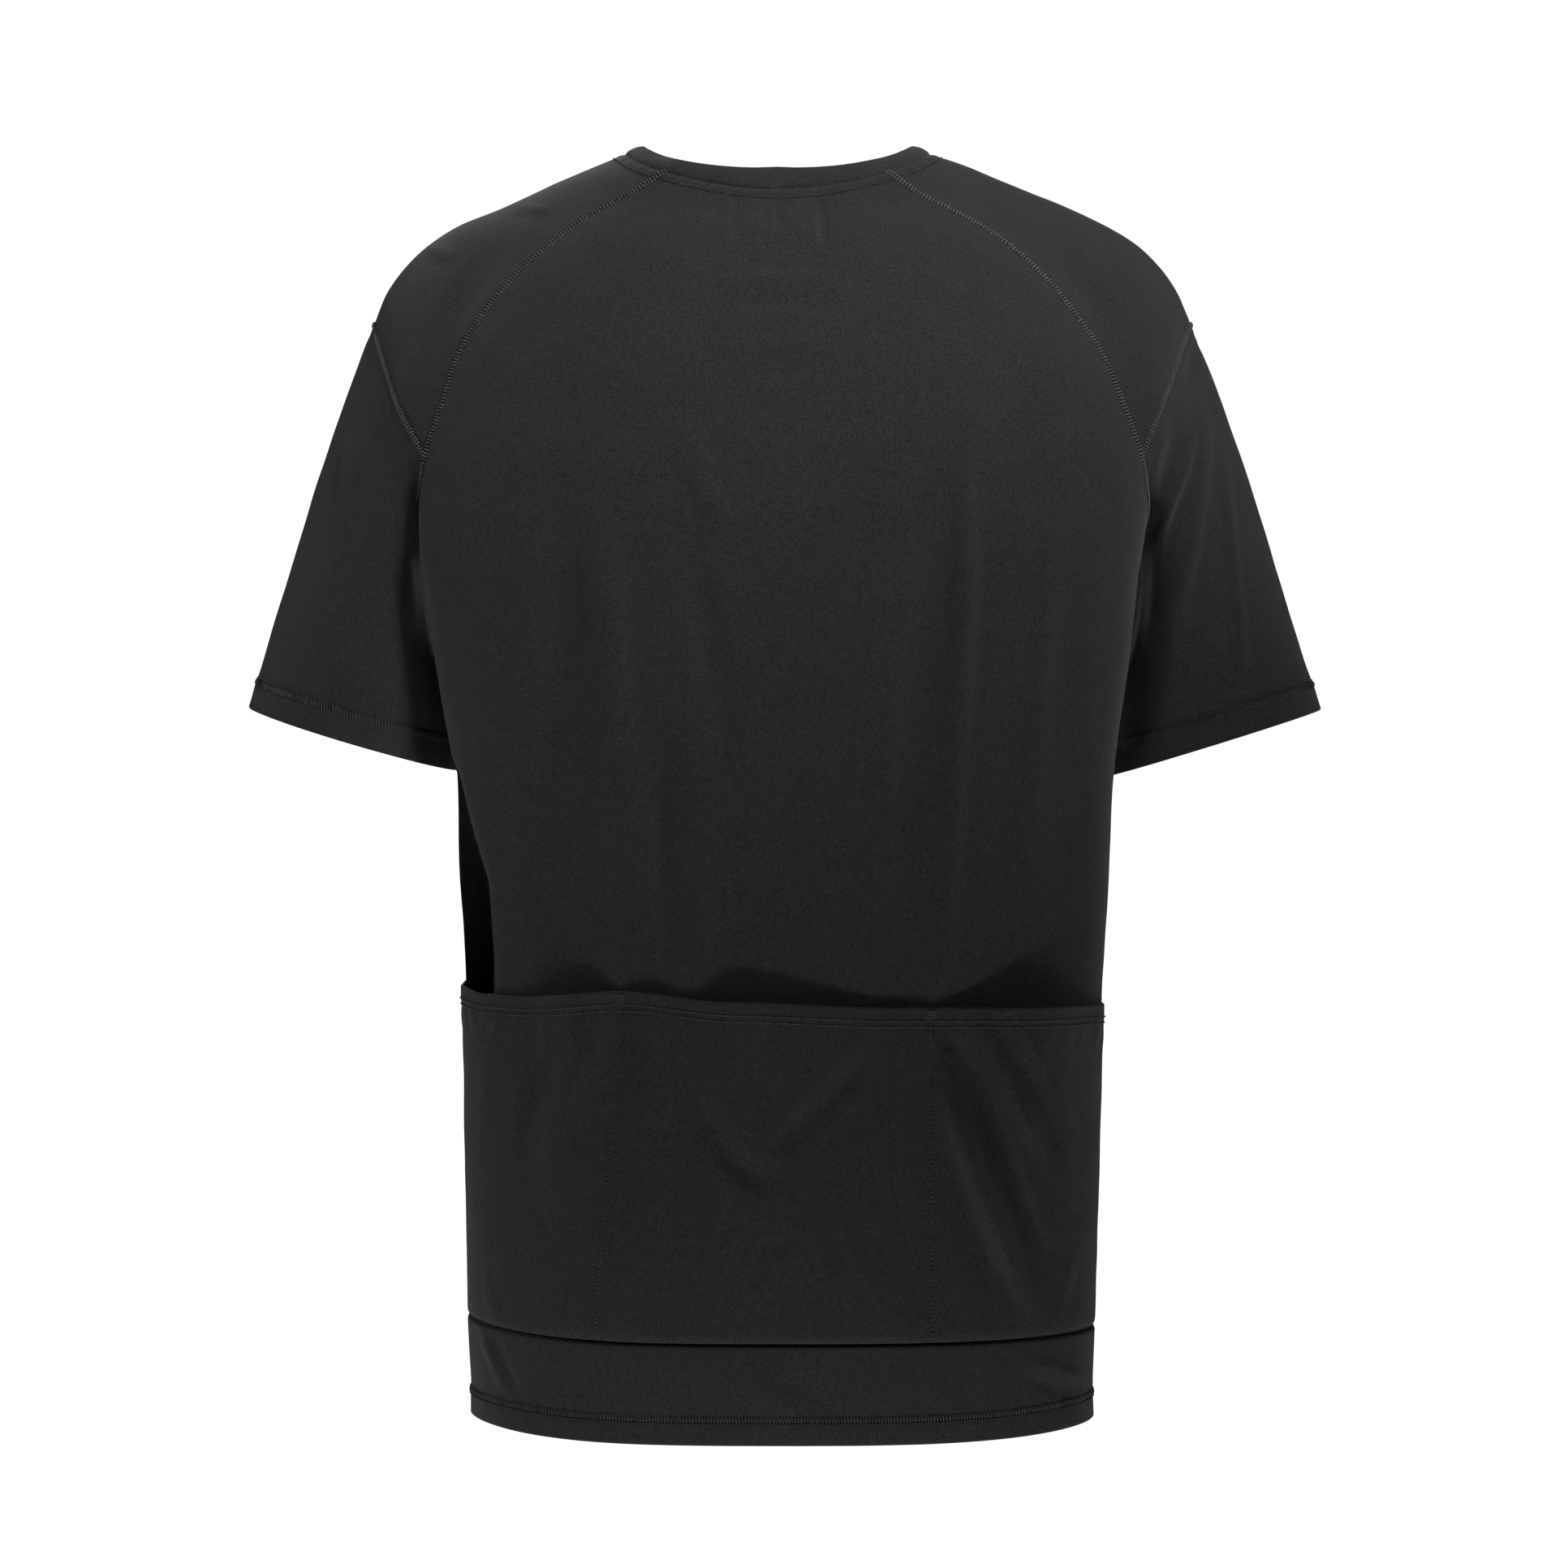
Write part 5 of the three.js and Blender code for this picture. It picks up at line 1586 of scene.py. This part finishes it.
# The lights: the name, which starts with the setting that gives its power, the place, the
# place that it faces, the size, how wide it spreads in degrees, and its share of that power.
LIGHTS = (
    ("front_light_from_right", (-0.8, 1.3, 0.6), (0.05, 0, -0.11), (0.7, 0.4), 28, 1),
    ("low_light_from_floor", (0, 0.5, -1.1), (0, 0.1, -0.5), (0.7, 0.06), 180, 1),
    ("top_light_from_above", (0, 0.1, 1.9), (0, 0, -0.2), (1.5, 1.2), 180, 1),
    ("side_light_from_right", (-2.1, -0.3, 0.1), (0, 0, -0.35), (0.9, 1.6), 180, 0.25),
    ("side_light_from_left", (2.1, -0.3, 0.1), (0, 0, -0.35), (0.9, 1.6), 180, 0.75),
    ("far_light_from_front", (0, -2.4, 0.5), (0, 0, -0.3), (1.4, 1.0), 180, 1),
)
# The camera's place, and half of what it sees across for each metre of distance.
CAMERA = {"place": (-0.0036, 3.0, -0.358), "half_view": 0.44677 / 3.0}
SENSOR = 36
# The floor and the wall behind it, in metres: heights, the places of the near edge and of
# the rise between them, and the radius of that rise.
FLOOR = {"level": -1.45, "near": 8.0, "rise": -3.0, "radius": 1.5, "top": 5.0, "half": 9,
         "steps": 12}


class JERSEY_OT_stage(JerseyMaker, bpy.types.Operator):
    """The pale floor that sweeps up behind, the studio lights and the camera"""
    bl_idname = "jersey.stage"
    bl_label = "Stage"

    def execute(self, context):
        scene = context.scene
        stage = scene.jersey_stage
        camera = bpy.data.cameras.new("camera")
        camera.sensor_width = SENSOR
        camera.lens = SENSOR / 2 / CAMERA["half_view"]
        camera.clip_start = 0.05
        camera.clip_end = 60
        viewer = bpy.data.objects.new("camera", camera)
        viewer.location = CAMERA["place"]
        viewer.rotation_euler = (math.pi / 2, 0, math.pi)
        scene.collection.objects.link(viewer)
        scene.camera = viewer
        for name, place, target, size, spread, share in LIGHTS:
            kind = name.split("_from_")[0]
            add_light(name, place, target, size, spread, getattr(stage, kind) * share)
        world = bpy.data.worlds.new("surround")
        world.use_nodes = True
        background = world.node_tree.nodes["Background"]
        background.inputs["Color"].default_value = (1, 1, 1, 1)
        background.inputs["Strength"].default_value = stage.surround
        scene.world = world
        scene.view_settings.view_transform = "Standard"
        self.add_floor(stage)
        return {"FINISHED"}

    def add_floor(self, stage):
        """A floor with a rounded rise to a wall far behind."""
        level, rise, radius = FLOOR["level"], FLOOR["rise"], FLOOR["radius"]
        profile = [(FLOOR["near"], level), (rise, level)]
        for k in range(1, FLOOR["steps"] + 1):
            turn = math.pi / 2 * k / FLOOR["steps"]
            profile.append((rise - radius * math.sin(turn),
                            level + radius * (1 - math.cos(turn))))
        profile.append((rise - radius, FLOOR["top"]))
        verts = [(x, y, z) for y, z in profile for x in (-FLOOR["half"], FLOOR["half"])]
        faces = [(2 * k, 2 * k + 1, 2 * k + 3, 2 * k + 2) for k in range(len(profile) - 1)]
        material = bpy.data.materials.new("Pale floor")
        material.use_nodes = True
        shader = material.node_tree.nodes["Principled BSDF"]
        shader.inputs["Base Color"].default_value = (*stage.floor, 1)
        shader.inputs["Roughness"].default_value = 0.9
        shader.inputs["Specular IOR Level"].default_value = 0.1
        shader.inputs["Emission Color"].default_value = (1, 1, 1, 1)
        seen = node(material.node_tree, "ShaderNodeLightPath").outputs["Is Camera Ray"]
        material.node_tree.links.new(seen, shader.inputs["Emission Strength"])
        floor = make_mesh("floor", np.array(verts) / MM, faces, None, material)


class JERSEY_PT_panel(bpy.types.Panel):
    """Lists the pieces of the jersey and their sizes"""
    bl_idname = "JERSEY_PT_panel"
    bl_label = "Cycling jersey"
    bl_space_type = "VIEW_3D"
    bl_region_type = "UI"
    bl_category = "Jersey"

    def draw(self, context):
        scene = context.scene
        for group in (scene.jersey_sizes, scene.jersey_colours, scene.jersey_stage):
            box = self.layout.box()
            for name in group.__annotations__:
                box.prop(group, name)
        for operator in OPERATORS:
            self.layout.operator(operator.bl_idname)


OPERATORS = (
    JERSEY_OT_stage,
    JERSEY_OT_back,
    JERSEY_OT_front,
    JERSEY_OT_hem_band,
    JERSEY_OT_pocket_panel,
    JERSEY_OT_yokes,
    JERSEY_OT_sleeves,
    JERSEY_OT_neckband,
    JERSEY_OT_stitching,
)
CLASSES = (JerseySizes, JerseyColours, JerseyStage, *OPERATORS, JERSEY_PT_panel)


def register():
    for made in CLASSES:
        bpy.utils.register_class(made)
    bpy.types.Scene.jersey_sizes = bpy.props.PointerProperty(type=JerseySizes)
    bpy.types.Scene.jersey_colours = bpy.props.PointerProperty(type=JerseyColours)
    bpy.types.Scene.jersey_stage = bpy.props.PointerProperty(type=JerseyStage)


def unregister():
    del bpy.types.Scene.jersey_stage
    del bpy.types.Scene.jersey_colours
    del bpy.types.Scene.jersey_sizes
    for made in reversed(CLASSES):
        bpy.utils.unregister_class(made)


def main():
    register()
    for operator in OPERATORS:
        family, name = operator.bl_idname.split(".")
        getattr(getattr(bpy.ops, family), name)()


if __name__ == "__main__":
    main()
